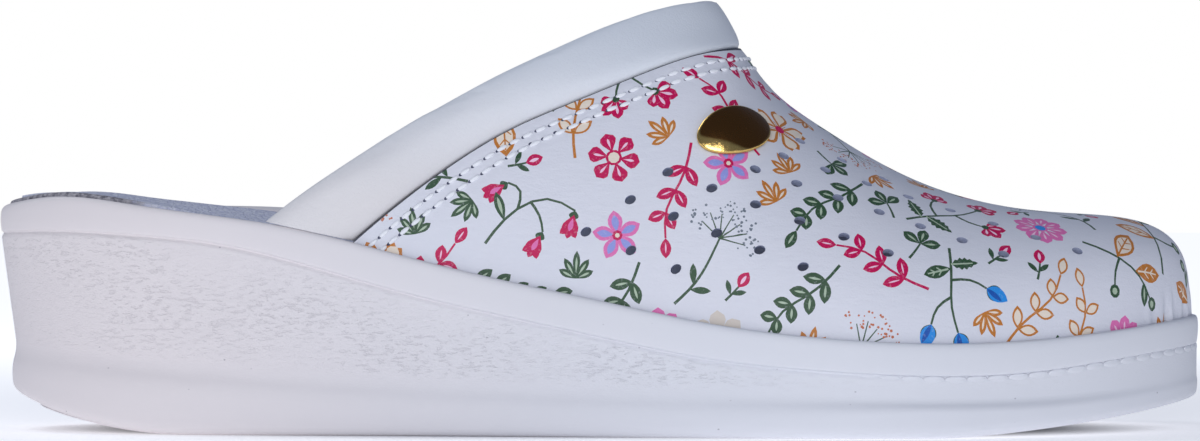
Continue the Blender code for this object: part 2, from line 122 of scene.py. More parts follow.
SIDE_COLUMNS = 190
FLOOR_STRIPS = 14
CORNER_RINGS = 6
CORNER_SHARE = 0.48
RING_SPACING = 3.0


def curve_through(rows, closed=False, samples=900):
    """Points along a cubic spline through the rows, spaced by chord length."""
    points = np.array(rows, float)
    if closed:
        points = np.vstack([points, points[:1]])
    steps = np.linalg.norm(np.diff(points, axis=0), axis=1)
    count = len(points)
    system = np.zeros((count, count))
    load = np.zeros_like(points)
    slopes = np.diff(points, axis=0) / steps[:, None]
    for i in range(1, count - 1):
        system[i, i - 1 : i + 2] = steps[i - 1], 2 * (steps[i - 1] + steps[i]), steps[i]
        load[i] = 6 * (slopes[i] - slopes[i - 1])
    system[0, 0] = 1
    system[-1, -1] = 1
    if closed:
        system[0, -1] = -1
        system[-1, :2] = 2 * (steps[0] + steps[-1]), steps[0]
        system[-1, -2:] = steps[-1], 0
        load[-1] = 6 * (slopes[0] - slopes[-1])
    bends = np.linalg.solve(system, load)
    knots = np.concatenate([[0], np.cumsum(steps)])
    at = np.linspace(0, knots[-1], samples)
    span = np.clip(np.searchsorted(knots, at, side="right") - 1, 0, count - 2)
    step = steps[span][:, None]
    after = (at - knots[span])[:, None]
    before = step - after
    return (
        (bends[span] * before**3 + bends[span + 1] * after**3) / (6 * step)
        + (points[span] / step - bends[span] * step / 6) * before
        + (points[span + 1] / step - bends[span + 1] * step / 6) * after
    )


def line_of(rows, column=1):
    """A smooth function of the distance from the heel, through one column of a table."""
    curve = curve_through([(row[0], row[column]) for row in rows])
    return lambda along: np.interp(along, curve[:, 0], curve[:, 1])


rim_top = line_of(SIDE_LINES, 1)
rim_foot = line_of(SIDE_LINES, 2)
band_top = line_of(SIDE_LINES, 3)


def ramp(value, low, high):
    """Smooth step from 0 at low to 1 at high."""
    share = np.clip((value - low) / (high - low), 0, 1)
    return share * share * (3 - 2 * share)


def underside(along):
    """Height of the sole's underside: flat, bevelled up at the heel and sprung up at the toe."""
    heel = np.clip((HEEL_BEVEL_LENGTH - along) / HEEL_BEVEL_LENGTH, 0, None)
    toe = np.clip((along - SHOE_LENGTH + TOE_SPRING_LENGTH) / TOE_SPRING_LENGTH, 0, None)
    return HEEL_BEVEL * heel**2 + TOE_SPRING * toe**1.5


def arch_lift(along, across):
    """How much higher the rim and insole lie on the inner side, along the arch of the foot."""
    return ARCH_LIFT * ramp(along, 25, 72) * (1 - ramp(along, 80, 150)) * ramp(across, -20, 28)


def unit(vectors):
    """Vectors brought to length 1."""
    return vectors / np.linalg.norm(vectors, axis=-1, keepdims=True)


def sole_sides():
    """The outline as an outer and an inner branch from heel to toe: distance, across, outward normal."""
    curve = curve_through(SOLE_OUTLINE, closed=True, samples=4001)[:-1]
    curve[:, 0] = (curve[:, 0] - curve[:, 0].min()) * SHOE_LENGTH / np.ptp(curve[:, 0])
    curve[:, 1] -= (curve[:, 1].min() + curve[:, 1].max()) / 2
    curve = np.roll(curve, -int(curve[:, 0].argmin()), axis=0)
    toe = int(curve[:, 0].argmax())
    tangent = unit(np.roll(curve, -1, axis=0) - np.roll(curve, 1, axis=0))
    normal = np.column_stack([tangent[:, 1], -tangent[:, 0]])
    if normal[0, 0] > 0:
        normal = -normal
    rows = np.column_stack([curve, normal])
    return rows[: toe + 1], np.vstack([rows[toe:], rows[:1]])[::-1]


OUTER_SIDE, INNER_SIDE = sole_sides()


def lengths_along(line):
    """Distance of each point of a line from its start, measured along it."""
    return np.concatenate([[0], np.cumsum(np.linalg.norm(np.diff(line, axis=0), axis=1))])


def spaced(branch, shares):
    """Rows of a branch at these shares of its length."""
    lengths = lengths_along(branch[:, :2])
    at = np.asarray(shares) * lengths[-1]
    return np.column_stack([np.interp(at, lengths, branch[:, i]) for i in range(branch.shape[1])])


side_shares = np.linspace(0, 1, SIDE_COLUMNS + 1)
SOLE_RING = np.vstack([spaced(OUTER_SIDE, side_shares), spaced(INNER_SIDE, side_shares)[-2:0:-1]])
around = SOLE_RING[:, 0]


def ring_at(outset, height, lifted=1):
    """The outline moved outwards and set at a height, with a share of the arch's lift."""
    plan = SOLE_RING[:, :2] + SOLE_RING[:, 2:] * np.broadcast_to(outset, around.shape)[:, None]
    return np.column_stack([plan, height + lifted * arch_lift(around, SOLE_RING[:, 1])])


def rounded(keys):
    """Rings through key rings. Each key comes with the size of its corner, cut to a share of the sides."""
    rings = [keys[0][0]]
    for (before, _), (corner, radius), (after, _) in zip(keys, keys[1:], keys[2:]):
        to_before = before - corner
        to_after = after - corner
        cut_before = np.clip(radius / np.linalg.norm(to_before, axis=1), 0, CORNER_SHARE)
        cut_after = np.clip(radius / np.linalg.norm(to_after, axis=1), 0, CORNER_SHARE)
        near = corner + to_before * cut_before[:, None]
        far = corner + to_after * cut_after[:, None]
        last = rings[-1]
        extra = int(np.linalg.norm(near - last, axis=1).max() / RING_SPACING)
        rings += [last + (near - last) * (i + 1) / (extra + 1) for i in range(extra)]
        for share in np.linspace(0, 1, CORNER_RINGS):
            rings.append((1 - share) ** 2 * near + 2 * share * (1 - share) * corner + share**2 * far)
    return rings + [keys[-1][0]]


def loft(rings):
    """Points of closed rings of equal length, and the quads between them."""
    count = len(rings[0])
    faces = []
    for level in range(len(rings) - 1):
        low = level * count
        for i in range(count):
            after = (i + 1) % count
            faces.append((low + i, low + after, low + count + after, low + count + i))
    return np.vstack(rings), faces


def span_across(points, faces, first, surface):
    """Closes the ring that starts at an index with strips across the sole, lying on a surface."""
    count = len(SOLE_RING)
    extra = []
    rows = []
    for station in range(1, count // 2):
        outer = points[first + station]
        inner = points[first + count - station]
        row = [first + station]
        for strip in range(1, FLOOR_STRIPS):
            share = strip / FLOOR_STRIPS
            point = outer + (inner - outer) * share
            point[2] = surface(point[0], point[1], share)
            row.append(len(points) + len(extra))
            extra.append(point)
        rows.append(row + [first + count - station])
    for tip, row in ((first, rows[0]), (first + count // 2, rows[-1])):
        faces += [(tip, a, b) for a, b in zip(row, row[1:])]
    for row, after in zip(rows, rows[1:]):
        faces += [(row[i], row[i + 1], after[i + 1], after[i]) for i in range(FLOOR_STRIPS)]
    return np.vstack([points, extra])


def to_scene(points):
    """Table coordinates to metres, with the origin under the middle of the shoe."""
    return (np.asarray(points, float) - (SHOE_LENGTH / 2, 0, 0)) * MM


def in_scene(name, data):
    """A new object in the scene that shows a mesh, a lamp or a camera."""
    shown = bpy.data.objects.new(name, data)
    bpy.context.scene.collection.objects.link(shown)
    return shown


def new_piece(name, points, faces, finish, smooth_angle=50):
    """A closed mesh in table coordinates as an object, shaded smooth up to an angle in degrees."""
    mesh = bpy.data.meshes.new(name)
    mesh.from_pydata(to_scene(points).tolist(), [], faces)
    bm = bmesh.new()
    bm.from_mesh(mesh)
    bmesh.ops.recalc_face_normals(bm, faces=bm.faces)
    bm.to_mesh(mesh)
    bm.free()
    mesh.shade_smooth()
    mesh.set_sharp_from_angle(angle=math.radians(smooth_angle))
    mesh.materials.append(finish.material)
    return in_scene(name, mesh)


def paint(piece, name, values):
    """Stores one number for each vertex, for the material to read."""
    attribute = piece.data.attributes.new(name, "FLOAT", "POINT")
    attribute.data.foreach_set("value", np.asarray(values, np.float32))


class Socket:
    """An output in a node tree. Arithmetic on it adds nodes to the tree."""

    def __init__(self, tree, output):
        self.tree = tree
        self.output = output

    def math(self, operation, *values):
        return self.tree.node("ShaderNodeMath", {"operation": operation}, dict(enumerate(values)))

    def __add__(self, other):
        return self.math("ADD", self, other)

    def __radd__(self, other):
        return self.math("ADD", other, self)

    def __sub__(self, other):
        return self.math("SUBTRACT", self, other)

    def __rsub__(self, other):
        return self.math("SUBTRACT", other, self)

    def __mul__(self, other):
        return self.math("MULTIPLY", self, other)

    def __rmul__(self, other):
        return self.math("MULTIPLY", other, self)

    def between(self, low, high):
        """A number that runs smoothly from 0 to 1 as this one goes from low to high."""
        sockets = {"Value": self, "From Min": low, "From Max": high}
        return self.tree.node("ShaderNodeMapRange", {"interpolation_type": "SMOOTHSTEP"}, sockets)

    def mixed(self, first, second):
        """The first colour where this is 0, the second where it is 1."""
        sockets = {0: self, 6: first, 7: second}
        return self.tree.node("ShaderNodeMix", {"data_type": "RGBA"}, sockets, output=2)

    def bumped(self, distance):
        """A normal that follows this as a height from 0 to 1. The distance is the full height in metres."""
        return self.tree.node("ShaderNodeBump", {}, {"Height": self, "Distance": distance, "Strength": 1.0})


class NodeTree:
    """Adds nodes to a material's or a modifier's tree."""

    def __init__(self, tree):
        self.tree = tree

    def feed(self, target, value):
        if isinstance(value, Socket):
            self.tree.links.new(value.output, target)
        else:
            target.default_value = value

    def node(self, kind, settings=None, sockets=None, output=0):
        node = self.tree.nodes.new(kind)
        for name, value in (settings or {}).items():
            setattr(node, name, value)
        for name, value in (sockets or {}).items():
            self.feed(node.inputs[name], value)
        return Socket(self, node.outputs[output])


class Finish(NodeTree):
    """A material with one Principled shader."""

    def __init__(self, name):
        self.material = bpy.data.materials.new(name)
        self.material.use_nodes = True
        super().__init__(self.material.node_tree)

    def wear(self, sockets):
        """Sets or links the shader's own sockets."""
        shader = self.tree.nodes["Principled BSDF"]
        for name, value in sockets.items():
            self.feed(shader.inputs[name], value)

    def place(self, scale):
        """Object coordinates, stretched by one scale or by one for each axis."""
        place = self.node("ShaderNodeTexCoord", output="Object")
        sockets = {"Vector": place, "Scale": np.broadcast_to(scale, 3).tolist()}
        return self.node("ShaderNodeMapping", {}, sockets)

    def noise(self, scale, detail=3.0, rough=0.5):
        """Noise from 0 to 1. The scale is the number of lumps in a metre."""
        sockets = {"Vector": self.place(scale), "Scale": 1.0, "Detail": detail, "Roughness": rough}
        return self.node("ShaderNodeTexNoise", {}, sockets)

    def cells(self, scale, feature="F1"):
        """Distance to the nearest of scattered points, or to the edge of its cell."""
        sockets = {"Vector": self.place(scale), "Scale": 1.0}
        return self.node("ShaderNodeTexVoronoi", {"feature": feature}, sockets)

    def painted(self, name, output="Fac"):
        """A number or a colour stored on the mesh."""
        return self.node("ShaderNodeAttribute", {"attribute_name": name}, output=output)


def ink(red, green, blue):
    """A colour that is given as it looks on a screen, from 0 to 255."""
    shares = np.array([red, green, blue]) / 255
    linear = np.where(shares <= 0.04045, shares / 12.92, ((shares + 0.055) / 1.055) ** 2.4)
    return (*linear.tolist(), 1.0)


sole_white = Finish("sole_white")
wall_grain = sole_white.painted("grain")
tread = sole_white.painted("tread")
skin = sole_white.noise((520, 520, 1700), 4.0, 0.62)
fine_skin = sole_white.noise((1400, 1400, 3200), 3.0)
grain_patches = sole_white.noise((32, 32, 48), 2.0).between(0.36, 0.6)
dents = skin.between(0.53, 0.64) * (0.35 + 0.65 * grain_patches)
# Small dark specks on the sole, scattered in patches.
speck_patches = sole_white.noise(60).between(0.5, 0.62)
dark_specks = sole_white.cells((230, 230, 330)).between(0.07, 0.03) * speck_patches
clouds = sole_white.noise(28, 2.0)
sole_tone = clouds.mixed(ink(220, 222, 229), ink(226, 227, 233))
# Painted warm light: a pinkish tint on the sole that grows towards the heel.
sole_tone = sole_white.painted("painted_warm_light").mixed(sole_tone, ink(227, 220, 221))
# Painted shade: the wall's dents are darker in colour as well as sunk in relief.
sole_tone = (wall_grain * dents * 0.075).mixed(sole_tone, ink(190, 184, 196))
sole_tone = (dark_specks * 0.5).mixed(sole_tone, ink(128, 122, 134))
tread_wave = sole_white.node(
    "ShaderNodeTexWave",
    {"wave_type": "BANDS", "bands_direction": "X"},
    {"Vector": sole_white.place(1), "Scale": TREAD_SCALE, "Distortion": 1.2, "Detail": 1.0},
)
sole_height = wall_grain * (fine_skin * 0.4 - dents * 0.36) + fine_skin * 0.1 + tread * tread_wave * 6.0
sole_white.wear(
    {
        "Base Color": sole_tone,
        "Roughness": 0.52 + wall_grain * 0.12,
        "Specular IOR Level": 0.35,
        "Normal": sole_height.bumped(0.0002),
    }
)

at_heel = 1 - ramp(around, 28, 50)
at_back = 1 - ramp(around, 2, 22)
rim_line = rim_top(around) - RIM_DROP_HEEL * at_heel
foot_line = rim_foot(around)
band_line = band_top(around)
under_line = underside(around)


def wall_step(along):
    """How far the wall stands back under the rim: not at all at the heel's back and at the toe."""
    return WALL_STEP * ramp(along, 5, 110) * (1 - ramp(along, 215, 250))


toe_flush = TOE_FLUSH * ramp(around, 215, 250)
wall_in = -(WALL_STEP + WALL_DRAFT * (foot_line - band_line)) * (1 - toe_flush)
band_out = wall_in + BAND_STEP * (1 - toe_flush)
band_soft = BAND_SOFT_HEEL - (BAND_SOFT_HEEL - BAND_SOFT_TOE) * ramp(around, 140, 200)
wall_top = -wall_step(around)
insole_in = RIM_WIDTH + SLOT + VAMP_WALL + SLOT - INSOLE_WIDER_HEEL * at_heel
recess_in = insole_in - SLOT - (insole_in - SLOT - RIM_WIDTH) * ramp(around, 58, 63)


def insole_edge(along):
    """Height of the insole's edge, which stands proud at the heel and sinks under the rim towards the toe."""
    return rim_top(along) - INSOLE_DROP_HEEL - (INSOLE_DROP_TOE - INSOLE_DROP_HEEL) * ramp(along, 35, 90)


def footbed(lower):
    """The insole's dished surface, moved down by a distance."""

    def surface(along, across, share):
        cup = HEEL_CUP_DEPTH * ramp(along, 4, 40) * (1 - ramp(along, 70, 150))
        return insole_edge(along) - lower + arch_lift(along, across) - cup * 4 * share * (1 - share)

    return surface


recess_depth = INSOLE_THICKNESS + FLOOR_GAP
recess_line = insole_edge(around) - recess_depth
# one row per key ring, from the underside up over the rim and into the recess: ring, size of its corner
sole_keys = [
    (ring_at(band_out - 6.0, under_line, 0), 0),
    (ring_at(band_out - 0.3, under_line, 0), BOTTOM_CORNER),
    (ring_at(band_out, band_line - band_soft * 1.3, 0), band_soft),
    (ring_at(wall_in, band_line + band_soft * 0.3, 0), band_soft),
    (ring_at(wall_top - 0.3, foot_line - 0.9), 0.5),
    (ring_at(wall_top - 0.75, foot_line - 0.25), 0.15),
    (ring_at(wall_top - 0.6, foot_line + 0.05), 0.1),
    (ring_at(-0.30, foot_line + 0.15), 0.45),
    (ring_at(0, foot_line + 2.4), 2.0),
    (ring_at(-0.05 - BACK_ROUNDING[0] * at_back, rim_line - 0.05 - BACK_ROUNDING[1] * at_back), 2.0),
    (ring_at(-RIM_WIDTH - 0.05, rim_line), 0.5),
    (ring_at(-recess_in - 0.06, rim_line - 0.6), 0.3),
    (ring_at(-recess_in - 0.06, recess_line), 0),
]
sole_rings = rounded(sole_keys)
sole_points, sole_faces = loft(sole_rings)
lofted = len(sole_points)
sole_points = span_across(sole_points, sole_faces, 0, lambda along, across, share: underside(along))
underside_count = len(sole_points)
sole_points = span_across(sole_points, sole_faces, lofted - len(SOLE_RING), footbed(recess_depth))
moulded_sole = new_piece("moulded_sole", sole_points, sole_faces, sole_white)
sole_along = sole_points[:, 0]
sole_lift = sole_points[:, 2] - arch_lift(sole_along, sole_points[:, 1])
grain_shade = ramp(sole_points[:, 2], band_top(sole_along) + 1.2, band_top(sole_along) + 4.0)
grain_shade *= 1 - ramp(sole_lift, rim_foot(sole_along) - 1.0, rim_foot(sole_along) + 0.1)
grain_shade *= 1 - 0.75 * ramp(sole_along, 135, 190)
paint(moulded_sole, "grain", grain_shade)
# Painted warm light: the pinkish tint is full at the heel and gone by 170 mm along.
paint(moulded_sole, "painted_warm_light", 1 - ramp(sole_along, 10, 170))
tread_shade = np.zeros(len(sole_points))
tread_shade[lofted:underside_count] = 1
paint(moulded_sole, "tread", tread_shade)
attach(moulded_sole, "root")
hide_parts("sole_unit")

# Welt stitches
# A row of stitches along the forefoot, moulded in the sole's own white polyurethane below the rim.
# They are part of the moulding, low and soft, and fade out towards the heel.
WELT_START = 168.0
WELT_DROP = 0.7
WELT_SIZE = (5.0, 1.9, 0.8)
WELT_PITCH = 4.5
WELT_OUTSET = -0.62
WELT_SINK = 0.5
WELT_FADE = 30.0


def stitch_tree():
    """Lays one bead after another along a path, with its flat side to the path's own up direction."""
    tree = bpy.data.node_groups.new("row_of_stitches", "GeometryNodeTree")
    for name, kind in (("Path", "Geometry"), ("Pitch", "Float"), ("Bead", "Vector"), ("Finish", "Material")):
        tree.interface.new_socket(name, in_out="INPUT", socket_type="NodeSocket" + kind)
    tree.interface.new_socket("Row", in_out="OUTPUT", socket_type="NodeSocketGeometry")
    nodes = NodeTree(tree)

    def given(name):
        return nodes.node("NodeGroupInput", output=name)

    curve = nodes.node("GeometryNodeMeshToCurve", {}, {"Mesh": given("Path")})
    spacing = {"Curve": curve, "Length": given("Pitch")}
    marks = nodes.node("GeometryNodeResampleCurve", {"mode": "LENGTH"}, spacing)
    up = nodes.node("GeometryNodeInputNamedAttribute", {"data_type": "FLOAT_VECTOR"}, {"Name": "up"})
    way = nodes.node("GeometryNodeInputTangent")
    turn = nodes.node(
        "FunctionNodeAxesToRotation",
        {"primary_axis": "Z", "secondary_axis": "X"},
        {"Primary Axis": up, "Secondary Axis": way},
    )
    ball = nodes.node("GeometryNodeMeshUVSphere", {}, {"Segments": 10, "Rings": 6, "Radius": 0.5})
    bead = nodes.node("GeometryNodeTransform", {}, {"Geometry": ball, "Scale": given("Bead")})
    laying = {"Points": marks, "Instance": bead, "Rotation": turn}
    laid = nodes.node("GeometryNodeInstanceOnPoints", {}, laying)
    real = nodes.node("GeometryNodeRealizeInstances", {}, {"Geometry": laid})
    soft = nodes.node("GeometryNodeSetShadeSmooth", {}, {"Geometry": real})
    done = nodes.node("GeometryNodeSetMaterial", {}, {"Geometry": soft, "Material": given("Finish")})
    nodes.feed(tree.nodes.new("NodeGroupOutput").inputs["Row"], done)
    return tree


ROW_OF_STITCHES = stitch_tree()


def stitch_row(name, paths, pitch, bead, finish):
    """A row of beads along each path, which is an array of points and one of directions away from it."""
    points = np.vstack([path for path, _ in paths])
    edges = []
    first = 0
    for path, _ in paths:
        edges += [(first + i, first + i + 1) for i in range(len(path) - 1)]
        first += len(path)
    mesh = bpy.data.meshes.new(name + "_path")
    mesh.from_pydata(to_scene(points).tolist(), edges, [])
    up = mesh.attributes.new("up", "FLOAT_VECTOR", "POINT")
    up.data.foreach_set("vector", np.vstack([ups for _, ups in paths]).astype(np.float32).ravel())
    guide = in_scene(name + "_path", mesh)
    row = guide.modifiers.new("row", "NODES")
    row.node_group = ROW_OF_STITCHES
    values = {"Pitch": pitch * MM, "Bead": [size * MM for size in bead], "Finish": finish.material}
    for item in ROW_OF_STITCHES.interface.items_tree:
        if item.name in values:
            row[item.identifier] = values[item.name]
    depsgraph = bpy.context.evaluated_depsgraph_get()
    result = bpy.data.meshes.new_from_object(guide.evaluated_get(depsgraph), depsgraph=depsgraph)
    bpy.data.objects.remove(guide)
    return in_scene(name, result)


def welt_path():
    """The line of the moulded stitches, from the outer side round the toe to the inner side."""
    line = np.vstack([OUTER_SIDE, INNER_SIDE[-2::-1]])
    line = line[line[:, 0] >= WELT_START]
    plan = line[:, :2] + line[:, 2:] * (WELT_OUTSET - wall_step(line[:, 0]))[:, None]
    height = rim_foot(line[:, 0]) - WELT_DROP + arch_lift(line[:, 0], line[:, 1])
    sink = WELT_SINK * (1 - ramp(line[:, 0], WELT_START, WELT_START + WELT_FADE))
    plan -= line[:, 2:] * sink[:, None]
    return np.column_stack([plan, height]), np.column_stack([line[:, 2:], np.zeros(len(line))])


welt_stitches = stitch_row("welt_stitches", [welt_path()], WELT_PITCH, WELT_SIZE, sole_white)
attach(welt_stitches, "root")

# Insole
# A light grey leather sock over a thin foam board, dished under the heel, glued into the sole's recess.
# Only a strip of it shows behind the collar.
insole_leather = Finish("insole_leather")
nap = insole_leather.noise(900, 4.0, 0.6)
creases = insole_leather.cells(700, "DISTANCE_TO_EDGE").between(0.0, 0.2)
worn = insole_leather.noise(35, 2.0)
insole_tone = worn.mixed(ink(212, 214, 228), ink(224, 225, 236))
# Painted shade: the insole is darker and bluer in the hollows of its nap.
nap_hollow_shade = nap.between(0.62, 0.38)
insole_tone = (nap_hollow_shade * 0.5).mixed(insole_tone, ink(170, 172, 204))
# The insole's side is darker towards the heel, mottled by the nap, and fades out by 42 mm along.
dark_edge_share = (insole_leather.painted("edge") + (nap - 0.5) * 0.9).between(0.35, 0.75)
frayed = nap.between(0.35, 0.65)
dark_edge_tone = frayed.mixed(ink(104, 102, 112), ink(176, 172, 178))
insole_tone = dark_edge_share.mixed(insole_tone, dark_edge_tone)
insole_leather.wear(
    {
        "Base Color": insole_tone,
        "Roughness": 0.78 - nap * 0.1,
        "Specular IOR Level": 0.25,
        "Normal": (creases * 0.6 + nap * 0.4).bumped(0.00025),
    }
)
insole_line = insole_edge(around)
insole_keys = [
    (ring_at(-insole_in, insole_line - INSOLE_THICKNESS), 0),
    (ring_at(-insole_in, insole_line - 0.1), 1.0),
    (ring_at(-insole_in - 2.5, insole_line), 0),
]
insole_points, insole_faces = loft(rounded(insole_keys))
insole_lofted = len(insole_points)
insole_points = span_across(insole_points, insole_faces, 0, footbed(INSOLE_THICKNESS))
insole_points = span_across(insole_points, insole_faces, insole_lofted - len(SOLE_RING), footbed(0))
footbed_sock = new_piece("footbed_sock", insole_points, insole_faces, insole_leather)
edge_shade = np.zeros(len(insole_points))
edge_shade[: insole_lofted - 2 * len(SOLE_RING)] = 1
edge_shade *= 1 - ramp(insole_points[:, 0], 24, 42)
paint(footbed_sock, "edge", edge_shade)
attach(footbed_sock, "root")
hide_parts("insole")

# Vamp
# White coated leather with a small wildflower print, punched with vent holes and pulled over the last.
# Its lower edge is glued into the sole's rim, and its back edge carries the collar.
LAST_START = 42.0
TOE_PIVOT = 219.0
TOE_FAN_BLEND = 20.0
RIDGE_SHIFT = 3.0
LASTING_MARGIN = 5.0
# columns: distance from the back of the heel, height of the instep ridge
INSTEP = [
    (42.0, 88.0),
    (85.0, 94.0),
    (120.0, 97.0),
    (140.0, 95.8),
    (150.5, 90.8),
    (157.7, 80.9),
    (164.7, 71.5),
    (175.4, 63.6),
    (186.0, 57.0),
    (196.6, 51.9),
    (207.3, 48.6),
    (223.0, 46.1),
    (240.0, 45.8),
    (255.0, 46.2),
]
# columns: distance from the back of the heel, fullness of the section (2 is an ellipse, more is boxier)
FULLNESS = [
    (42.0, 2.0),
    (128.0, 1.9),
    (168.0, 2.1),
    (208.0, 2.6),
    (232.0, 3.1),
    (246.0, 3.35),
    (255.0, 3.6),
]
# columns: distance from the back of the heel, height of the seam as seen from the side
COLLAR_SEAM = [
    (66.0, 30.5),
    (76.9, 40.3),
    (91.0, 51.8),
    (98.8, 57.3),
    (106.8, 62.2),
    (123.3, 69.6),
    (140.1, 76.5),
    (148.6, 79.3),
    (157.7, 80.9),
    (168.0, 82.0),
]
# columns: first hole's distance from the back of the heel, its height, number of holes, step, fall per step
VENT_ROWS = [
    (124.6, 42.2, 3, 9.2, 3.8),
    (133.7, 48.8, 5, 8.8, 3.4),
    (141.4, 54.5, 6, 9.0, 3.3),
    (159.5, 55.1, 7, 8.5, 2.9),
    (165.5, 57.9, 8, 8.7, 2.8),
    (169.2, 61.1, 3, 8.8, 3.9),
]
VENT_INNER_SHIFT = (-6.0, -1.0)
VENT_SIZE = (2.4, 1.85)
VENT_TURN = 14.0
VENT_SIDES = 20
VENT_PRESS = 0.22
STITCH_ROWS = (2.9, 5.2)
STITCH_PRESS = 0.16
SEAM_PRESS = 0.3
BETWEEN_ROWS_RISE = 0.1
SWELL = 0.16
SWELL_LENGTH = 22.0
PLEAT_DEPTH = 0.42
GRID_ROWS = 150
BEHIND_ROWS = 10
HALF_COLUMNS = 64
MARGIN_COLUMNS = 4
instep = line_of(INSTEP)
fullness = line_of(FULLNESS)
collar_seam = line_of(COLLAR_SEAM)


def feather_branches():
    """The line where the vamp leaves the rim, outer and inner, from LAST_START to the toe tip."""
    branches = []
    for side in (OUTER_SIDE, INNER_SIDE):
        plan = side[:, :2] - side[:, 2:] * (RIM_WIDTH + SLOT)
        branches.append(plan[plan[:, 0] >= LAST_START])
    tip = (branches[0][-1] + branches[1][-1]) / 2
    return [np.vstack([branch[:-1], tip]) for branch in branches]


FEATHER = feather_branches()


def section_ends(station, arc):
    """Ridge point and feather point, in plan, of the section that a point of the last lies on."""
    shape = station.shape
    outer = spaced(FEATHER[0], station.ravel()).reshape(*shape, 2)
    inner = spaced(FEATHER[1], station.ravel()).reshape(*shape, 2)
    reach = (outer[..., 0] + inner[..., 0]) / 2
    short = np.clip(TOE_PIVOT + TOE_FAN_BLEND - reach, 0, None)
    ridge_x = np.where(short < 2 * TOE_FAN_BLEND, TOE_PIVOT - short**2 / (4 * TOE_FAN_BLEND), reach)
    ridge = np.stack([ridge_x, np.full(shape, RIDGE_SHIFT)], axis=-1)
    return ridge, np.where((arc < 0)[..., None], outer, inner)


def last_point(station, arc):
    """Point on the outer face of the last.

    station runs from 0 at LAST_START to 1 at the toe tip. arc runs from -1 at the outer feather line,
    over 0 on the instep ridge, to 1 at the inner feather line.
    """
    station, arc = np.broadcast_arrays(np.asarray(station, float), np.asarray(arc, float))
    ridge, foot = section_ends(station, arc)
    power = 2 / fullness(foot[..., 0])
    angle = np.abs(arc) * math.pi / 2
    plan = ridge + (foot - ridge) * (np.sin(angle) ** power)[..., None]
    low = rim_top(foot[..., 0]) + arch_lift(foot[..., 0], foot[..., 1])
    rise = instep(plan[..., 0]) - low
    height = low + rise * np.clip(np.cos(angle), 0, 1) ** power
    return np.concatenate([plan, height[..., None]], axis=-1)


def station_on(line, arc):
    """Station where the last, at each arc, crosses a line that is given as seen from the side."""
    low = np.zeros_like(arc)
    high = np.ones_like(arc)
    for _ in range(40):
        middle = (low + high) / 2
        point = last_point(middle, arc)
        behind = point[..., 2] > line(point[..., 0])
        low = np.where(behind, middle, low)
        high = np.where(behind, high, middle)
    return (low + high) / 2


def last_frame(station, arc):
    """Point on the last with its unit tangent along the shoe, tangent across it, and outward normal."""
    step = 0.002
    point = last_point(station, arc)
    along = last_point(np.minimum(station + step, 1), arc) - last_point(np.maximum(station - step, 0), arc)
    across = last_point(station, np.minimum(arc + step, 1)) - last_point(station, np.maximum(arc - step, -1))
    return point, unit(along), unit(across), unit(np.cross(along, across))


SIDE_VIEW = np.array([(1, 0), (0, 0), (0, 1)])


def settled(station, arc, spots, plane):
    """Station and arc, moved until their point of the last lies at a spot as seen against a plane."""
    step = 1e-4
    for _ in range(8):
        here = last_point(station, arc)
        by_station = (last_point(station + step, arc) - here) @ plane / step
        by_arc = (last_point(station, arc + step) - here) @ plane / step
        short = spots - here @ plane
        moves = np.linalg.solve(np.stack([by_station, by_arc], axis=-1), short[..., None])[..., 0]
        station = station + moves[..., 0]
        arc = arc + moves[..., 1]
    return station, arc


def station_seen_at(along, height, side):
    """Station and arc of the point of the last that is seen from the side at this place."""
    stations, arcs = np.meshgrid(np.linspace(0.02, 0.98, 140), side * np.linspace(0.04, 0.98, 110))
    points = last_point(stations, arcs)
    nearest = ((points[..., 0] - along) ** 2 + (points[..., 2] - height) ** 2).argmin()
    return settled(stations.flat[nearest], arcs.flat[nearest], np.array([along, height]), SIDE_VIEW)


def even_arcs(columns, stations):
    """Arcs that space the columns evenly round each section, however boxy it is."""
    arcs = np.broadcast_to(columns, stations.shape)
    _, foot = section_ends(stations, arcs)
    power = 2 / fullness(foot[..., 0])
    spread = np.tan(np.clip(np.abs(arcs), 0, 1 - 1e-9) * math.pi / 2) ** (1 / power)
    return np.sign(arcs) * np.arctan(spread) * 2 / math.pi


def leather_grid():
    """The leather as a fine grid from behind the seam to the toe: points, and the same laid flat."""
    columns = np.linspace(-1, 1, 2 * HALF_COLUMNS + 1)
    seam = station_on(collar_seam, columns)
    seam = station_on(collar_seam, even_arcs(columns, seam))
    even = np.linspace(0, 1, GRID_ROWS + 1)
    advance = (even + np.sin(even * math.pi / 2)) / 2
    advance = np.concatenate([np.linspace(-0.06, 0, BEHIND_ROWS, endpoint=False), advance])
    stations = seam + (1 - seam) * advance[:, None]
    arcs = even_arcs(columns, stations)
    arcs[BEHIND_ROWS] = even_arcs(columns, seam)
    points = last_point(stations, arcs)
    ridge, foot = section_ends(stations, arcs)
    outward = unit(foot - ridge)
    crest = last_point(stations, np.zeros_like(arcs))[..., 2]
    flat = points[..., :2] + outward * np.clip(crest - points[..., 2], 0, None)[..., None]
    for step in range(1, MARGIN_COLUMNS + 1):
        down = LASTING_MARGIN / MARGIN_COLUMNS
        points = np.concatenate([points[:, :1] - (0, 0, down), points, points[:, -1:] - (0, 0, down)], axis=1)
        flat = np.concatenate(
            [flat[:, :1] + outward[:, :1] * down, flat, flat[:, -1:] + outward[:, -1:] * down], axis=1
        )
    return points, flat


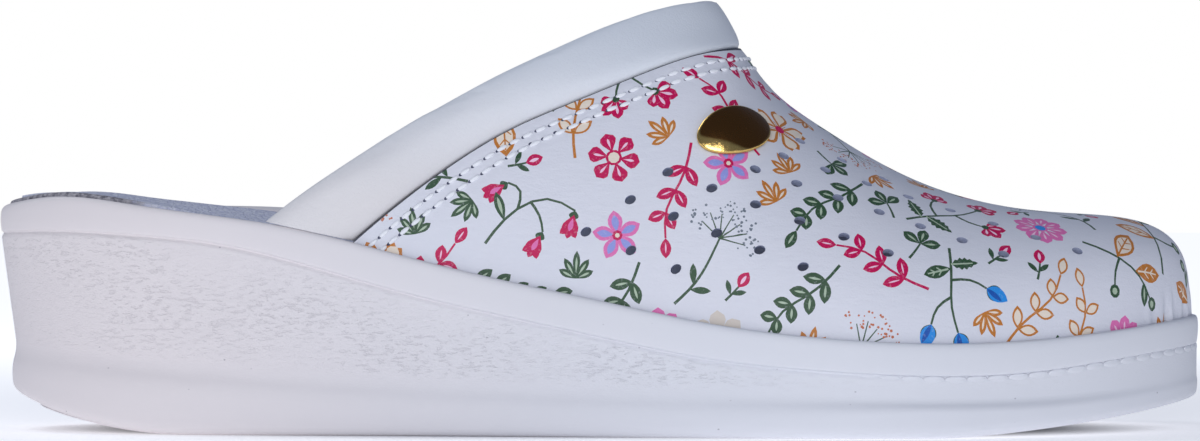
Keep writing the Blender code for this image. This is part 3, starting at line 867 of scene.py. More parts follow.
def grid_normals(points):
    """Outward unit normals of the leather grid, also where its columns meet on the toe."""
    down_shoe = np.gradient(points, axis=0)
    round_shoe = np.gradient(points, axis=1)
    normals = np.cross(down_shoe, round_shoe)
    lengths = np.linalg.norm(normals, axis=-1, keepdims=True)
    normals = normals / np.maximum(lengths, 1e-9)
    middle = points.shape[1] // 2
    normals[:, middle] = normals[:, middle - 1] + normals[:, middle + 1]
    normals[-1] = normals[-1] + normals[-1, ::-1]
    return unit(normals)


leather_points, leather_flat = leather_grid()
seam_row = leather_points[BEHIND_ROWS].copy()
leather_normals = grid_normals(leather_points)

seam_tree = KDTree(len(seam_row) * 4)
seam_fine = curve_through(seam_row, samples=len(seam_row) * 4)
for i, point in enumerate(seam_fine):
    seam_tree.insert(Vector(point), i)
seam_tree.balance()
from_seam = np.array([[seam_tree.find(Vector(p))[2] for p in row] for row in leather_points])

# gentle unevenness of lasted leather, channels sunk by the stitches, and small pleats at the toe's foot
press = np.zeros(from_seam.shape)
for row in STITCH_ROWS:
    press -= STITCH_PRESS * np.exp(-(((from_seam - row) / 0.75) ** 2))
press -= SEAM_PRESS * np.exp(-((from_seam / 0.7) ** 2))
press += BETWEEN_ROWS_RISE * np.exp(-(((from_seam - sum(STITCH_ROWS) / 2) / 0.6) ** 2))
swell = np.array([[noise.noise(Vector(p) / SWELL_LENGTH) for p in row] for row in leather_points])
press += SWELL * swell * ramp(from_seam, 4, 12)
toe_turn = np.arctan2(leather_points[..., 1] - RIDGE_SHIFT, leather_points[..., 0] - TOE_PIVOT)
above_rim = leather_points[..., 2] - rim_top(leather_points[..., 0])
pleat_zone = (1 - ramp(above_rim, 1.0, 8.0)) * ramp(leather_points[..., 0], 238, 248)
press += PLEAT_DEPTH * pleat_zone * (np.sin(toe_turn * 46) + 0.6 * np.sin(toe_turn * 71 + 1.0))
leather_points = leather_points + leather_normals * press[..., None]
leather_normals = grid_normals(leather_points)

grid_shape = leather_points.shape[:2]
index = np.arange(grid_shape[0] * grid_shape[1]).reshape(grid_shape)
corner_a, corner_b = index[:-1, :-1].ravel(), index[1:, :-1].ravel()
corner_c, corner_d = index[1:, 1:].ravel(), index[:-1, 1:].ravel()
grid_triangles = np.vstack(
    [np.column_stack([corner_a, corner_b, corner_c]), np.column_stack([corner_a, corner_c, corner_d])]
)
all_points = leather_points.reshape(-1, 3)
all_flat = leather_flat.reshape(-1, 2)
all_normals = leather_normals.reshape(-1, 3)
flat_edges = all_flat[grid_triangles]
spread_one = flat_edges[:, 1] - flat_edges[:, 0]
spread_two = flat_edges[:, 2] - flat_edges[:, 0]
flat_area = np.abs(spread_one[:, 0] * spread_two[:, 1] - spread_one[:, 1] * spread_two[:, 0]) / 2
grid_triangles = grid_triangles[flat_area > 1e-5]
shaped_tree = BVHTree.FromPolygons(all_points.tolist(), grid_triangles.tolist(), all_triangles=True)
flat_tree = BVHTree.FromPolygons(
    np.column_stack([all_flat, np.zeros(len(all_flat))]).tolist(), grid_triangles.tolist(), all_triangles=True
)


def weights_in(points, corners):
    """Weights of a triangle's corners at a point, one triangle for each point."""
    one = corners[:, 1] - corners[:, 0]
    two = corners[:, 2] - corners[:, 0]
    reach = points - corners[:, 0]
    one_one, one_two, two_two = (one * one).sum(1), (one * two).sum(1), (two * two).sum(1)
    along_one, along_two = (reach * one).sum(1), (reach * two).sum(1)
    spread = one_one * two_two - one_two**2
    second = (two_two * along_one - one_two * along_two) / spread
    third = (one_one * along_two - one_two * along_one) / spread
    return np.column_stack([1 - second - third, second, third])


def lay_flat(outlines, place):
    """Outlines drawn round a place on the leather, projected and laid flat, or None for one that misses."""
    origin, right, up, out = place
    laid = []
    for outline in outlines:
        hits = []
        found = []
        for x, y in outline:
            start = origin + right * x + up * y + out * 8
            hit, _, triangle, _ = shaped_tree.ray_cast(Vector(start), Vector(-out), 20)
            if hit is None:
                break
            hits.append(hit)
            found.append(triangle)
        if len(hits) < len(outline):
            laid.append(None)
            continue
        corners = grid_triangles[found]
        shares = weights_in(np.array(hits), all_points[corners])
        laid.append((all_flat[corners] * shares[..., None]).sum(1))
    return laid


def place_on(point, normal, turn):
    """A drawing place on the leather: its origin, right, up and outward directions."""
    right = unit(np.cross((0, 1, 0.2), normal))
    up = np.cross(normal, right)
    return (
        np.asarray(point),
        right * math.cos(turn) + up * math.sin(turn),
        up * math.cos(turn) - right * math.sin(turn),
        np.asarray(normal),
    )


# The print: small wildflowers of many kinds, scattered so that most of the white ground stays free
LEAF = ink(54, 84, 58)
STEM = ink(62, 88, 64)
SAGE = ink(176, 194, 170)
RASPBERRY = ink(198, 0, 84)
ROSE = ink(228, 116, 180)
BLUSH = ink(246, 206, 228)
OCHRE = ink(196, 122, 48)
HONEY = ink(238, 224, 208)
SAND = ink(214, 204, 194)
SKY = ink(44, 144, 226)
DEEP_SKY = ink(28, 88, 176)
LILAC = ink(148, 156, 222)
SLATE = ink(112, 122, 134)
CLAY = ink(192, 106, 70)
STEM_WIDTH = 0.5
PRINT_SIZES = (1.22, 1.14, 1.1)
PRINT_TRIES = (3000, 5000, 9000)
PRINT_SEED = 38
PRINT_SQUARE = 0.8
PRINT_CLEAR = 1
LEATHER_CELL = 1.7
# A dark strip on the outer face along the collar seam: partly the leather's raw edge, partly painted shadow
# of the seam's gap.
SEAM_EDGE_AND_SHADOW = ink(58, 60, 72)
SEAM_EDGE_AND_SHADOW_WIDTH = 0.3


def turned(outline, degrees):
    """An outline turned about the origin."""
    angle = math.radians(degrees)
    cosine, sine = math.cos(angle), math.sin(angle)
    return np.asarray(outline, float) @ np.array([[cosine, sine], [-sine, cosine]])


def toward(degrees, length):
    """The point at a length from the origin in a direction."""
    return turned([(length, 0)], degrees)[0]


def petal(root, degrees, length, width, widest=0.55):
    """Outline of a petal or leaf that grows from a root. widest is where along it the middle bulges."""
    share = np.linspace(0, 1, 7)
    bow = np.sin(math.pi * share ** (math.log(0.5) / math.log(widest))) ** 0.8
    upper = np.column_stack([share * length, bow * width / 2])
    lower = upper[-2:0:-1] * (1, -1)
    return turned(np.vstack([upper, lower]), degrees) + root


def dot(at, radius, sides=8):
    """A round spot."""
    turn = np.linspace(0, 2 * math.pi, sides, endpoint=False)
    return np.column_stack([np.cos(turn), np.sin(turn)]) * radius + at


def stem(points, colour=STEM, width=STEM_WIDTH, parts=7):
    """A bent stem, in short straight parts that grow thinner."""
    line = curve_through(points, samples=parts + 1)
    way = np.gradient(line, axis=0)
    side = unit(np.column_stack([-way[:, 1], way[:, 0]]))
    half = side * (width / 2 * np.linspace(1, 0.7, parts + 1))[:, None]
    left, right = line + half, line - half
    return [(colour, np.array([left[i], left[i + 1], right[i + 1], right[i]])) for i in range(parts)]


def lined_petal(root, degrees, length, width, dark, light, widest=0.6, fill=0.5):
    """A petal with a dark edge and a light middle. fill is the middle's share of the width."""
    middle = root + toward(degrees, length * (0.24 - 0.16 * fill))
    return [
        (dark, petal(root, degrees, length, width, widest)),
        (light, petal(middle, degrees, length * (0.48 + 0.36 * fill), width * fill, widest)),
    ]


def veined_leaf(root, degrees, length, width, dark, light, fill=0.0):
    """A broad leaf with a middle vein and side veins, on a plain or a lighter ground."""
    shapes = [(dark, petal(root, degrees, length, width, 0.55))]
    vein = light
    if fill:
        shapes = lined_petal(root, degrees, length, width, dark, light, 0.55, fill)
        vein = dark
    spine = [root + toward(degrees, length * share) for share in (0.1, 0.35, 0.6, 0.85)]
    shapes += stem([spine[0], spine[3]], vein, 0.34, 1)
    for foot, reach in ((spine[1], 0.30), (spine[2], 0.24)):
        for side in (-1, 1):
            tip = foot + toward(degrees, width * reach) + toward(degrees + 90, side * width * reach)
            shapes += stem([foot, tip], vein, 0.26, 1)
    return shapes


def toothed_leaf(root, degrees, length, width):
    """A dark leaf with a toothed edge and a pale vein."""
    share = np.linspace(0, 1, 12)
    bow = np.sin(math.pi * share**0.85) * (1 - 0.34 * (np.arange(12) % 2))
    upper = np.column_stack([share * length, bow * width / 2])
    outline = turned(np.vstack([upper, upper[-2:0:-1] * (1, -1)]), degrees) + root
    return [(LEAF, outline)] + stem([root, root + toward(degrees, length * 0.8)], SAGE, 0.3, 1)


def daisy(rays, dark, light, heart, size=4.3):
    """An open flower with rays round a disc."""
    shapes = []
    for k in range(rays):
        degrees = 360 * k / rays
        width = size * 2.1 / math.sqrt(rays * 1.3)
        shapes += lined_petal(toward(degrees, 0.8), degrees, size, width, dark, light, 0.68, 0.16)
    return shapes + [(dark, dot((0, 0), 1.5, 10)), (heart, dot((0, 0), 1.05, 9))]


def bell(at, degrees):
    """A hanging bell with a toothed mouth."""
    shapes = [(LEAF, petal(at, degrees, 1.6, 1.7))]
    for spread in (-38, 0, 38):
        shapes.append((RASPBERRY, petal(at + toward(degrees, 2.6), degrees + spread, 2.3, 1.3)))
    shapes.append((RASPBERRY, petal(at + toward(degrees, 0.7), degrees, 3.8, 2.9, 0.62)))
    return shapes + [(ROSE, petal(at + toward(degrees, 1.3), degrees, 2.3, 0.9, 0.6))]


def bellflower():
    """A nodding stem with three bells."""
    shapes = stem([(-2, -9), (-2.4, -2), (0.5, 4), (5, 5.6)])
    shapes += stem([(-2.2, -1), (-4.6, 1.6), (-6.6, 1.0)], parts=4)
    shapes += stem([(-1.6, 1.4), (1.6, 0.6), (3.6, -0.8)], parts=4)
    shapes += bell((5, 5.6), -62) + bell((-6.6, 1.0), -104) + bell((3.6, -0.8), -76)
    return shapes + [(LEAF, petal((-2.4, -4), 152, 5.2, 1.7)), (SAGE, petal((-3.3, -3.5), 152, 3.2, 0.6))]


def blossom(at, degrees, size=1.0):
    """A small side-on blossom with four rounded petals."""
    shapes = []
    for spread, length in ((-62, 3.0), (62, 3.0), (-22, 4.0), (22, 4.0)):
        shapes += lined_petal(at, degrees + spread, length * size, 2.3 * size, RASPBERRY, BLUSH, 0.66, 0.24)
    return shapes + [(LEAF, dot(at, 0.75 * size, 7))]


def berry_twig():
    """A twig with three raspberry blossoms and a few leaves."""
    shapes = stem([(-7.5, -6), (-2.5, -2.2), (1.5, 0.5), (4.5, 4.8)])
    shapes += stem([(-2.5, -2.2), (-3.8, 1.2), (-3.2, 4)], parts=4)
    shapes += stem([(0.6, -0.2), (3.6, -1.6), (6.0, -1.8)], parts=4)
    shapes += blossom((4.5, 4.8), 58) + blossom((-3.2, 4), 96, 0.9) + blossom((6.0, -1.8), -14, 0.9)
    return shapes + toothed_leaf((-5, -4), 122, 5.2, 2.6) + toothed_leaf((-4.2, -3.4), -28, 5.4, 2.7)


def leaf_sprig(dark, light, fill, pairs=4):
    """A bent sprig with leaves in pairs."""
    spine = curve_through([(-8, -3), (-2, -0.6), (4, 0.4), (8, 3)], samples=pairs + 2)
    shapes = stem([(-8, -3), (-2, -0.6), (4, 0.4), (8, 3)], dark)
    for k in range(1, pairs + 1):
        for side in (-1, 1):
            length = 4.3 - 0.35 * k
            shapes += lined_petal(spine[k], 14 + side * 48, length, 2.0, dark, light, 0.52, fill)
    return shapes + lined_petal(spine[-1], 36, 3.4, 1.9, dark, light, 0.52, fill)


def pod_twig():
    """A twig with two ochre leaves and round green seeds."""
    shapes = stem([(-7, -5.5), (-2, -1.5), (2, 1), (7.5, 2.4)])
    shapes += stem([(-1.6, -1.2), (0.4, -4.0), (2.6, -5.4)], parts=4)
    shapes += veined_leaf((-2, -1.5), 108, 7.6, 3.9, OCHRE, HONEY, 0.74)
    shapes += veined_leaf((1.6, 0.9), 66, 6.4, 3.4, OCHRE, HONEY)
    for seed in ((7.9, 2.6), (3.0, -5.6)):
        shapes += [(LEAF, dot(seed, 1.15, 9)), (SAGE, dot(seed, 0.6, 7))]
    return shapes + lined_petal((4, 1.9), -22, 4.0, 1.8, LEAF, SAGE, 0.5, 0.25)


def bud_sprig():
    """A forked sprig with three blue buds."""
    shapes = stem([(-6.5, -6), (-2, -2), (1.4, 1.2), (3.6, 5)])
    shapes += stem([(-2, -2), (-4.6, 0.6), (-5.4, 3.2)], parts=4)
    shapes += stem([(0.2, 0), (3.4, -0.4), (6, 0.8)], parts=4)
    for at, degrees in (((3.6, 5), 66), ((-5.4, 3.2), 106), ((6, 0.8), 28)):
        shapes += [(LEAF, petal(at, degrees + spread, 2.4, 1.0)) for spread in (34, -34)]
        shapes.append((SKY, petal(at, degrees, 4.2, 2.6, 0.45)))
        shapes.append((DEEP_SKY, petal(at, degrees - 10, 3.4, 0.9, 0.5)))
    shapes += veined_leaf((-3.6, -3.4), -30, 5.0, 2.4, LEAF, SAGE)
    return shapes + toothed_leaf((-4.2, -3.9), 140, 4.8, 2.4)


def pale_blossom():
    """A flat cream blossom with seven petals and fine seeds."""
    shapes = [(SAND, petal((0, 0), 360 * k / 7 + 9, 5.2, 3.0, 0.68)) for k in range(7)]
    shapes.append((HONEY, dot((0, 0), 1.2, 9)))
    return shapes + [(OCHRE, dot(toward(360 * k / 7 + 34, 2.0), 0.22, 5)) for k in range(7)]


def seed_head(colour, draw):
    """A tall umbel: rays that fan out from a stem, with a cloud of seeds at their tips."""
    head = (0.6, 0.6)
    shapes = stem([(-9.5, -8), (-5, -5.4), (-1.2, -1.6), head], parts=8)
    for k in range(7):
        tip = head + toward(-30 + 150 * k / 6, 4.2 + 0.5 * (k % 2))
        shapes += stem([head, tip], STEM, 0.26, 2)
    for _ in range(80):
        seed = head + toward(draw.uniform(-48, 138), draw.uniform(3.4, 6.6))
        shapes.append((colour, dot(seed, draw.uniform(0.13, 0.28), 5)))
    return shapes + [(LEAF, petal((-5.6, -5.8), 76, 3.6, 1.2)), (LEAF, petal((-6.4, -6.4), -20, 3.6, 1.2))]


def cosmos(dark, light, heart):
    """An open flower with five notched petals."""
    shapes = []
    for k in range(5):
        degrees = 72 * k
        for lean in (-9, 9):
            shapes.append((dark, petal((0, 0), degrees + lean, 5.6, 2.5, 0.7)))
        shapes.append((light, petal(toward(degrees, 1.2), degrees, 4.0, 2.5, 0.68)))
    for k in range(5):
        shapes += stem([(0, 0), toward(72 * k + 36, 2.2)], dark, 0.22, 1)
    return shapes + [(heart, dot((0, 0), 1.0, 9))]


def star_flower():
    """A lilac flower with five pointed petals edged in rose."""
    shapes = []
    for k in range(5):
        shapes += lined_petal((0, 0), 72 * k + 18, 4.6, 2.7, ROSE, LILAC, 0.56)
    return shapes + [(RASPBERRY, dot((0, 0), 0.95, 8)), (HONEY, dot((0, 0), 0.45, 6))]


def trefoil():
    """Three leaves on a short stalk."""
    shapes = stem([(-1, -4), (-0.4, -2), (0, 0)], parts=3)
    for degrees in (90, 22, 158):
        shapes += lined_petal((0, 0), degrees, 4.0, 2.3, LEAF, SAGE, 0.6, 0.2)
    return shapes


def small_bud():
    """One bud between two narrow leaves."""
    shapes = stem([(-0.6, -3.6), (-0.2, -1.6), (0, 0)], parts=3)
    shapes += [(LEAF, petal((-0.4, -2.2), 138, 2.9, 1.0)), (LEAF, petal((-0.4, -2.0), 42, 2.9, 1.0))]
    return shapes + lined_petal((0, -0.2), 90, 3.4, 2.3, RASPBERRY, BLUSH, 0.5, 0.28)


def spray(dark, light):
    """A little fan of five narrow leaves."""
    shapes = []
    for degrees in (-64, -32, 0, 32, 64):
        shapes += lined_petal((-2.4, 0), degrees, 5.2 - abs(degrees) / 40, 1.4, dark, light, 0.6, 0.3)
    return shapes


def squares_under(outlines):
    """Squares of the flat leather that a drawing touches."""
    spots = np.vstack([np.vstack([flat, (flat + np.roll(flat, -1, axis=0)) / 2]) for flat in outlines])
    return set(map(tuple, np.round(spots / PRINT_SQUARE).astype(int).tolist()))


def scatter_print():
    """Colours and flat outlines of designs thrown on the leather, large ones first, clear of each other."""
    draw = random.Random(PRINT_SEED)
    large = [
        bellflower,
        berry_twig,
        lambda: leaf_sprig(LEAF, SAGE, 0.2),
        pod_twig,
        bud_sprig,
        lambda: seed_head(SLATE, draw),
        lambda: leaf_sprig(ROSE, BLUSH, 0.42),
        lambda: seed_head(CLAY, draw),
        lambda: leaf_sprig(OCHRE, HONEY, 0.66, 3),
        lambda: leaf_sprig(RASPBERRY, BLUSH, 0.14, 3),
    ]
    middle = [
        lambda: daisy(9, ROSE, BLUSH, SKY),
        lambda: cosmos(OCHRE, HONEY, RASPBERRY),
        star_flower,
        pale_blossom,
        lambda: daisy(6, RASPBERRY, BLUSH, HONEY, 4.0),
    ]
    small = [small_bud, trefoil, lambda: spray(LEAF, SAGE), lambda: spray(OCHRE, HONEY)]
    corners = all_points[grid_triangles]
    areas = np.linalg.norm(np.cross(corners[:, 1] - corners[:, 0], corners[:, 2] - corners[:, 0]), axis=1)
    reached = np.cumsum(areas)
    around_square = range(-PRINT_CLEAR, PRINT_CLEAR + 1)
    taken = set()
    shapes = []
    for designs, size, tries in zip((large, middle, small), PRINT_SIZES, PRINT_TRIES):
        queue = []
        for _ in range(tries):
            if not queue:
                queue = designs[:]
                draw.shuffle(queue)
            triangle = grid_triangles[int(np.searchsorted(reached, draw.uniform(0, reached[-1])))]
            turn = draw.uniform(0, 2 * math.pi)
            if tuple(np.round(all_flat[triangle].mean(axis=0) / PRINT_SQUARE).astype(int)) in taken:
                continue
            normal = unit(all_normals[triangle].mean(axis=0))
            place = place_on(all_points[triangle].mean(axis=0), normal, turn)
            drawn = queue[-1]()
            laid = lay_flat([outline * size for _, outline in drawn], place)
            kept = [(colour, flat) for (colour, _), flat in zip(drawn, laid) if flat is not None]
            touched = squares_under([flat for _, flat in kept]) if kept else taken
            if touched & taken:
                continue
            queue.pop()
            shapes += kept
            taken |= {(x + i, y + j) for x, y in touched for i in around_square for j in around_square}
    return shapes


def seam_edge_and_shadow_strips():
    """A dark strip on the leather along the collar, partly its raw edge and partly painted shadow of the
    seam's gap, as short strips laid flat.
    """
    edge = leather_flat[BEHIND_ROWS]
    inner = edge + unit(leather_flat[BEHIND_ROWS + 1] - edge) * SEAM_EDGE_AND_SHADOW_WIDTH
    corners = [np.array([edge[i], edge[i + 1], inner[i + 1], inner[i]]) for i in range(len(edge) - 1)]
    return [(SEAM_EDGE_AND_SHADOW, strip) for strip in corners]


def vent_outlines():
    """Each vent hole's centre, and its rim and the pressed ring round it, laid flat."""
    rows = []
    for first, height, count, step, fall in VENT_ROWS:
        for i in range(count):
            for side, (on, up) in ((-1, (0, 0)), (1, VENT_INNER_SHIFT)):
                found = station_seen_at(first + on + i * step, height + up - i * fall, side)
                point, _, _, normal = last_frame(*found)
                rings = [dot((0, 0), share / 2, VENT_SIDES) * VENT_SIZE for share in (1, 1.25, 1.6)]
                place = place_on(point, normal, -side * math.radians(VENT_TURN))
                rows.append((point, lay_flat(rings, place)))
    return rows


def area_of(outline):
    """Area of a flat outline, below 0 where its inside lies on the right."""
    after = np.roll(outline, -1, axis=0)
    return (outline[:, 0] * after[:, 1] - outline[:, 1] * after[:, 0]).sum() / 2


def cut_leather():
    """Triangles of the flat leather, cut along its edge, its vents and its print.

    Returns the flat corners, the triangles and the print's colour in each (or None).
    """
    edge = np.vstack(
        [
            leather_flat[BEHIND_ROWS],
            leather_flat[BEHIND_ROWS + 1 :, -1],
            leather_flat[BEHIND_ROWS + 1 : -1, 0][::-1],
        ]
    )
    outlines = [edge]
    outlines += [rings[0] for _, rings in VENTS]
    vent_count = len(outlines)
    outlines += [ring for _, rings in VENTS for ring in rings[1:]]
    print_start = len(outlines)
    outlines += [outline for _, outline in PRINT]
    corners = []
    loops = []
    for outline in outlines:
        loops.append(list(range(len(corners), len(corners) + len(outline))))
        corners += (outline if area_of(outline) > 0 else outline[::-1]).tolist()
    seen = set()
    for point in leather_flat[BEHIND_ROWS + 1 : -1, 1:-1].reshape(-1, 2):
        cell = (round(point[0] / LEATHER_CELL), round(point[1] / LEATHER_CELL))
        if cell not in seen:
            seen.add(cell)
            corners.append(point.tolist())
    flat, _, triangles, _, _, sources = delaunay_2d_cdt([Vector(c) for c in corners], [], loops, 1, 1e-4)
    flat = np.array([tuple(c) for c in flat])
    filled = np.zeros(len(outlines))
    for triangle, inside in zip(triangles, sources):
        filled[list(inside)] += area_of(flat[triangle])
    # an outline that crosses itself on the steep toe would fill what lies outside it
    sound = filled < 1.5 * np.abs([area_of(outline) for outline in outlines]) + 0.1
    kept = []
    colours = []
    for triangle, inside in zip(triangles, sources):
        inside = [source for source in inside if sound[source]]
        if 0 not in inside or any(1 <= source < vent_count for source in inside):
            continue
        top = max(inside)
        kept.append(triangle)
        colours.append(PRINT[top - print_start][0] if top >= print_start else None)
    return flat, np.array(kept), colours


PRINT = scatter_print() + seam_edge_and_shadow_strips()
VENTS = vent_outlines()
cut_flat, cut_triangles, cut_colours = cut_leather()
used, cut_triangles = np.unique(cut_triangles, return_inverse=True)
cut_triangles = cut_triangles.reshape(-1, 3)
cut_flat = cut_flat[used]
nearest = [flat_tree.find_nearest(Vector((x, y, 0))) for x, y in cut_flat]
cut_hosts = grid_triangles[[found[2] for found in nearest]]
cut_shares = weights_in(np.array([tuple(found[0])[:2] for found in nearest]), all_flat[cut_hosts])
outer_face = (all_points[cut_hosts] * cut_shares[..., None]).sum(1)
outer_normals = unit((all_normals[cut_hosts] * cut_shares[..., None]).sum(1))
inner_face = outer_face - outer_normals * VAMP_WALL
punched = np.zeros(len(outer_face), bool)
for centre, _ in VENTS:
    reach = np.linalg.norm(outer_face - centre, axis=1)
    punched |= reach < VENT_SIZE[0] * 0.55
    pressed = VENT_PRESS * (1 - ramp(reach, VENT_SIZE[0] * 0.5, VENT_SIZE[0] * 0.8))
    outer_face -= outer_normals * pressed[:, None]

printed_leather = Finish("printed_leather")
print_colour = printed_leather.painted("print", "Color")
print_share = printed_leather.painted("print", "Alpha")
hide = printed_leather.noise((260, 260, 900), 4.0, 0.6)
fine_hide = printed_leather.noise(2400, 2.0)
ink_speckle = printed_leather.noise(1900, 2.0)
hide_clouds = printed_leather.noise(30, 2.0)
ground = hide_clouds.mixed(ink(220, 222, 232), ink(226, 226, 234))
ink_cover = print_share * (1 - 0.16 * ink_speckle.between(0.55, 0.72))
printed_leather.wear(
    {
        "Base Color": ink_cover.mixed(ground, print_colour),
        "Roughness": 0.40 + 0.10 * hide,
        "Specular IOR Level": 0.3,
        "Normal": (hide * 0.7 + fine_hide * 0.3).bumped(0.00016),
    }
)


def fibrous(name, lumps, low, high, roughness, relief, detail=3.0, rough=0.5):
    """A leather of fine fibres in two tones. lumps is their number in a metre, relief their height."""
    finish = Finish(name)
    fibres = finish.noise(lumps, detail, rough)
    finish.wear(
        {
            "Base Color": fibres.mixed(low, high),
            "Roughness": roughness - fibres * 0.1,
            "Normal": fibres.bumped(relief),
        }
    )
    return finish


lining = fibrous("lining_leather", 800, ink(216, 218, 228), ink(234, 234, 240), 0.8, 0.0002, 4.0, 0.6)
cut_edge = fibrous("cut_edge", 1600, ink(72, 74, 86), ink(112, 112, 122), 0.85, 0.0003)
# Painted shade: the vent holes' walls are a darker bluish grey than the leather.
hole_walls_painted_shade = fibrous("hole_walls_painted_shade", 1600, ink(150, 158, 186), ink(176, 182, 204), 0.8, 0.0002)


def sewn_shell(name, outer, inner, normals, triangles, colours, holes):
    """A wall of leather from its cut outer face and its inner face, closed along every cut edge.

    Slots: outer face, inner face, cut edge, and the walls of holes whose corners are marked.
    """
    count = len(outer)
    sides = np.vstack([triangles[:, [0, 1]], triangles[:, [1, 2]], triangles[:, [2, 0]]])
    both = {(int(a), int(b)) for a, b in sides}
    rims = [(a, b) for a, b in both if (b, a) not in both]
    rims.sort()
    faces = [tuple(t) for t in triangles.tolist()]
    faces += [(c + count, b + count, a + count) for a, b, c in triangles.tolist()]
    faces += [(b, a, a + count, b + count) for a, b in rims]
    mesh = bpy.data.meshes.new(name)
    mesh.from_pydata(to_scene(np.vstack([outer, inner])).tolist(), [], faces)
    shell = len(triangles)
    slots = np.repeat([0, 1, 2], [shell, shell, len(rims)])
    slots[2 * shell :] += [bool(holes[a] and holes[b]) for a, b in rims]
    mesh.polygons.foreach_set("material_index", slots.astype(np.int32))
    mesh.polygons.foreach_set("use_smooth", slots < 2)
    corner_normals = np.vstack([normals[triangles.ravel()], -normals[triangles[:, ::-1].ravel()]])
    corner_normals = np.vstack([corner_normals, np.zeros((4 * len(rims), 3))])
    mesh.normals_split_custom_set(corner_normals.tolist())
    layer = mesh.color_attributes.new("print", "FLOAT_COLOR", "CORNER")
    values = np.zeros((len(mesh.loops), 4), np.float32)
    values[: 3 * shell] = np.repeat([(0, 0, 0, 0) if c is None else c for c in colours], 3, axis=0)
    layer.data.foreach_set("color", values.ravel())
    return in_scene(name, mesh)


printed_vamp = sewn_shell(
    "printed_vamp", outer_face, inner_face, outer_normals, cut_triangles, cut_colours, punched
)
for finish in (printed_leather, lining, cut_edge, hole_walls_painted_shade):
    printed_vamp.data.materials.append(finish.material)
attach(printed_vamp, "root")
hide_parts("vamp")

# Collar
# A roll of foam in soft white leather, sewn along the back edge of the vamp from rim to rim over the instep.
# It is plump, a little flatter on its outer face, and its ends are tucked down on the rim.
# columns: distance from the back of the heel, height of the free edge as seen from the side
COLLAR_EDGE = [
    (50.0, 37.0),
    (58.0, 43.9),
    (65.8, 50.0),
    (76.0, 57.1),
    (86.2, 63.8),
    (96.5, 69.9),
    (106.7, 75.4),
    (117.1, 80.3),
    (127.5, 84.9),
    (138.1, 88.5),
    (146.0, 90.3),
    (156.0, 91.8),
]
# columns: share of the way from the seam to the free edge, height above the vamp's outer face
COLLAR_SECTION = [
    (0.00, -1.3),
    (0.04, -0.3),
    (0.15, 1.0),
    (0.33, 1.9),
    (0.55, 2.6),
    (0.76, 2.7),
    (0.89, 1.9),
    (0.955, 0.2),
    (0.95, -1.8),
    (0.88, -3.7),
    (0.72, -4.8),
    (0.45, -5.1),
    (0.20, -4.2),
    (0.04, -2.6),
]
COLLAR_WIDTH = 18.0
COLLAR_FLAT_END = 0.25
COLLAR_FLAT_TOP = 0.4
COLLAR_FLAT = 0.1
COLLAR_PLUMP = 0.12
COLLAR_PLUMP_LENGTH = 16.0
COLLAR_REACH = 1.035
COLLAR_GAP = 0.15
COLLAR_TUCK = 0.9
COLLAR_COLUMNS = 260
COLLAR_SIDES = 44
STUFFING_PRESSURE = 150.0
STUFFING_MASS = 0.001
STUFFING_STEPS = 20
STUFFING_REACH = 0.6
collar_edge = line_of(COLLAR_EDGE)
collar_outline = [(share * COLLAR_WIDTH, height) for share, height in COLLAR_SECTION]
collar_round = curve_through(collar_outline, closed=True, samples=COLLAR_SIDES + 1)[:-1]


def collar_rings():
    """Sections of the roll, from the outer rim over the instep to the inner rim."""
    # the roll ends just short of the line where the vamp leaves the rim
    end = 1 - math.acos(1 - 0.0001) / math.pi
    arcs = np.linspace(-end, end, COLLAR_COLUMNS + 1)
    front = station_on(collar_seam, arcs)
    back = station_on(collar_edge, arcs)
    seam_points, _, _, seam_normals = last_frame(front, arcs)
    edge_points, _, _, edge_normals = last_frame(back, arcs)
    across = np.clip(collar_round[:, 0] / COLLAR_WIDTH, 0, None)
    crown = np.clip(collar_round[:, 1], 0, None)
    rings = []
    for i, arc in enumerate(arcs):
        width = edge_points[i] - seam_points[i]
        start = COLLAR_GAP / np.linalg.norm(width)
        share = start + (1 - start) * across
        normals = unit(seam_normals[i] + (edge_normals[i] - seam_normals[i]) * share[:, None])
        plump = COLLAR_PLUMP * noise.noise(Vector(seam_points[i]) / COLLAR_PLUMP_LENGTH)
        on_top = 1 - ramp(abs(arc), 0.1, 0.55)
        share = share * (COLLAR_REACH + 0.01 * on_top)
        flat = COLLAR_FLAT + COLLAR_FLAT_TOP * (1 - ramp(abs(arc), 0.2, 0.7))
        flat += COLLAR_FLAT_END * ramp(abs(arc), 0.8, 1.0)
        depth = collar_round[:, 1] + crown * (plump - flat)
        ring = seam_points[i] + width * share[:, None] + normals * depth[:, None]
        floor = rim_top(ring[:, 0]) + arch_lift(ring[:, 0], ring[:, 1]) - COLLAR_TUCK
        ring[:, 2] = np.maximum(ring[:, 2], floor)
        rings.append(ring)
    return rings


def capped(rings):
    """The loft of rings, with a face over both ends."""
    points, faces = loft(rings)
    sides = len(rings[0])
    faces += [tuple(range(sides)), tuple(range(len(points) - sides, len(points)))]
    return points, faces


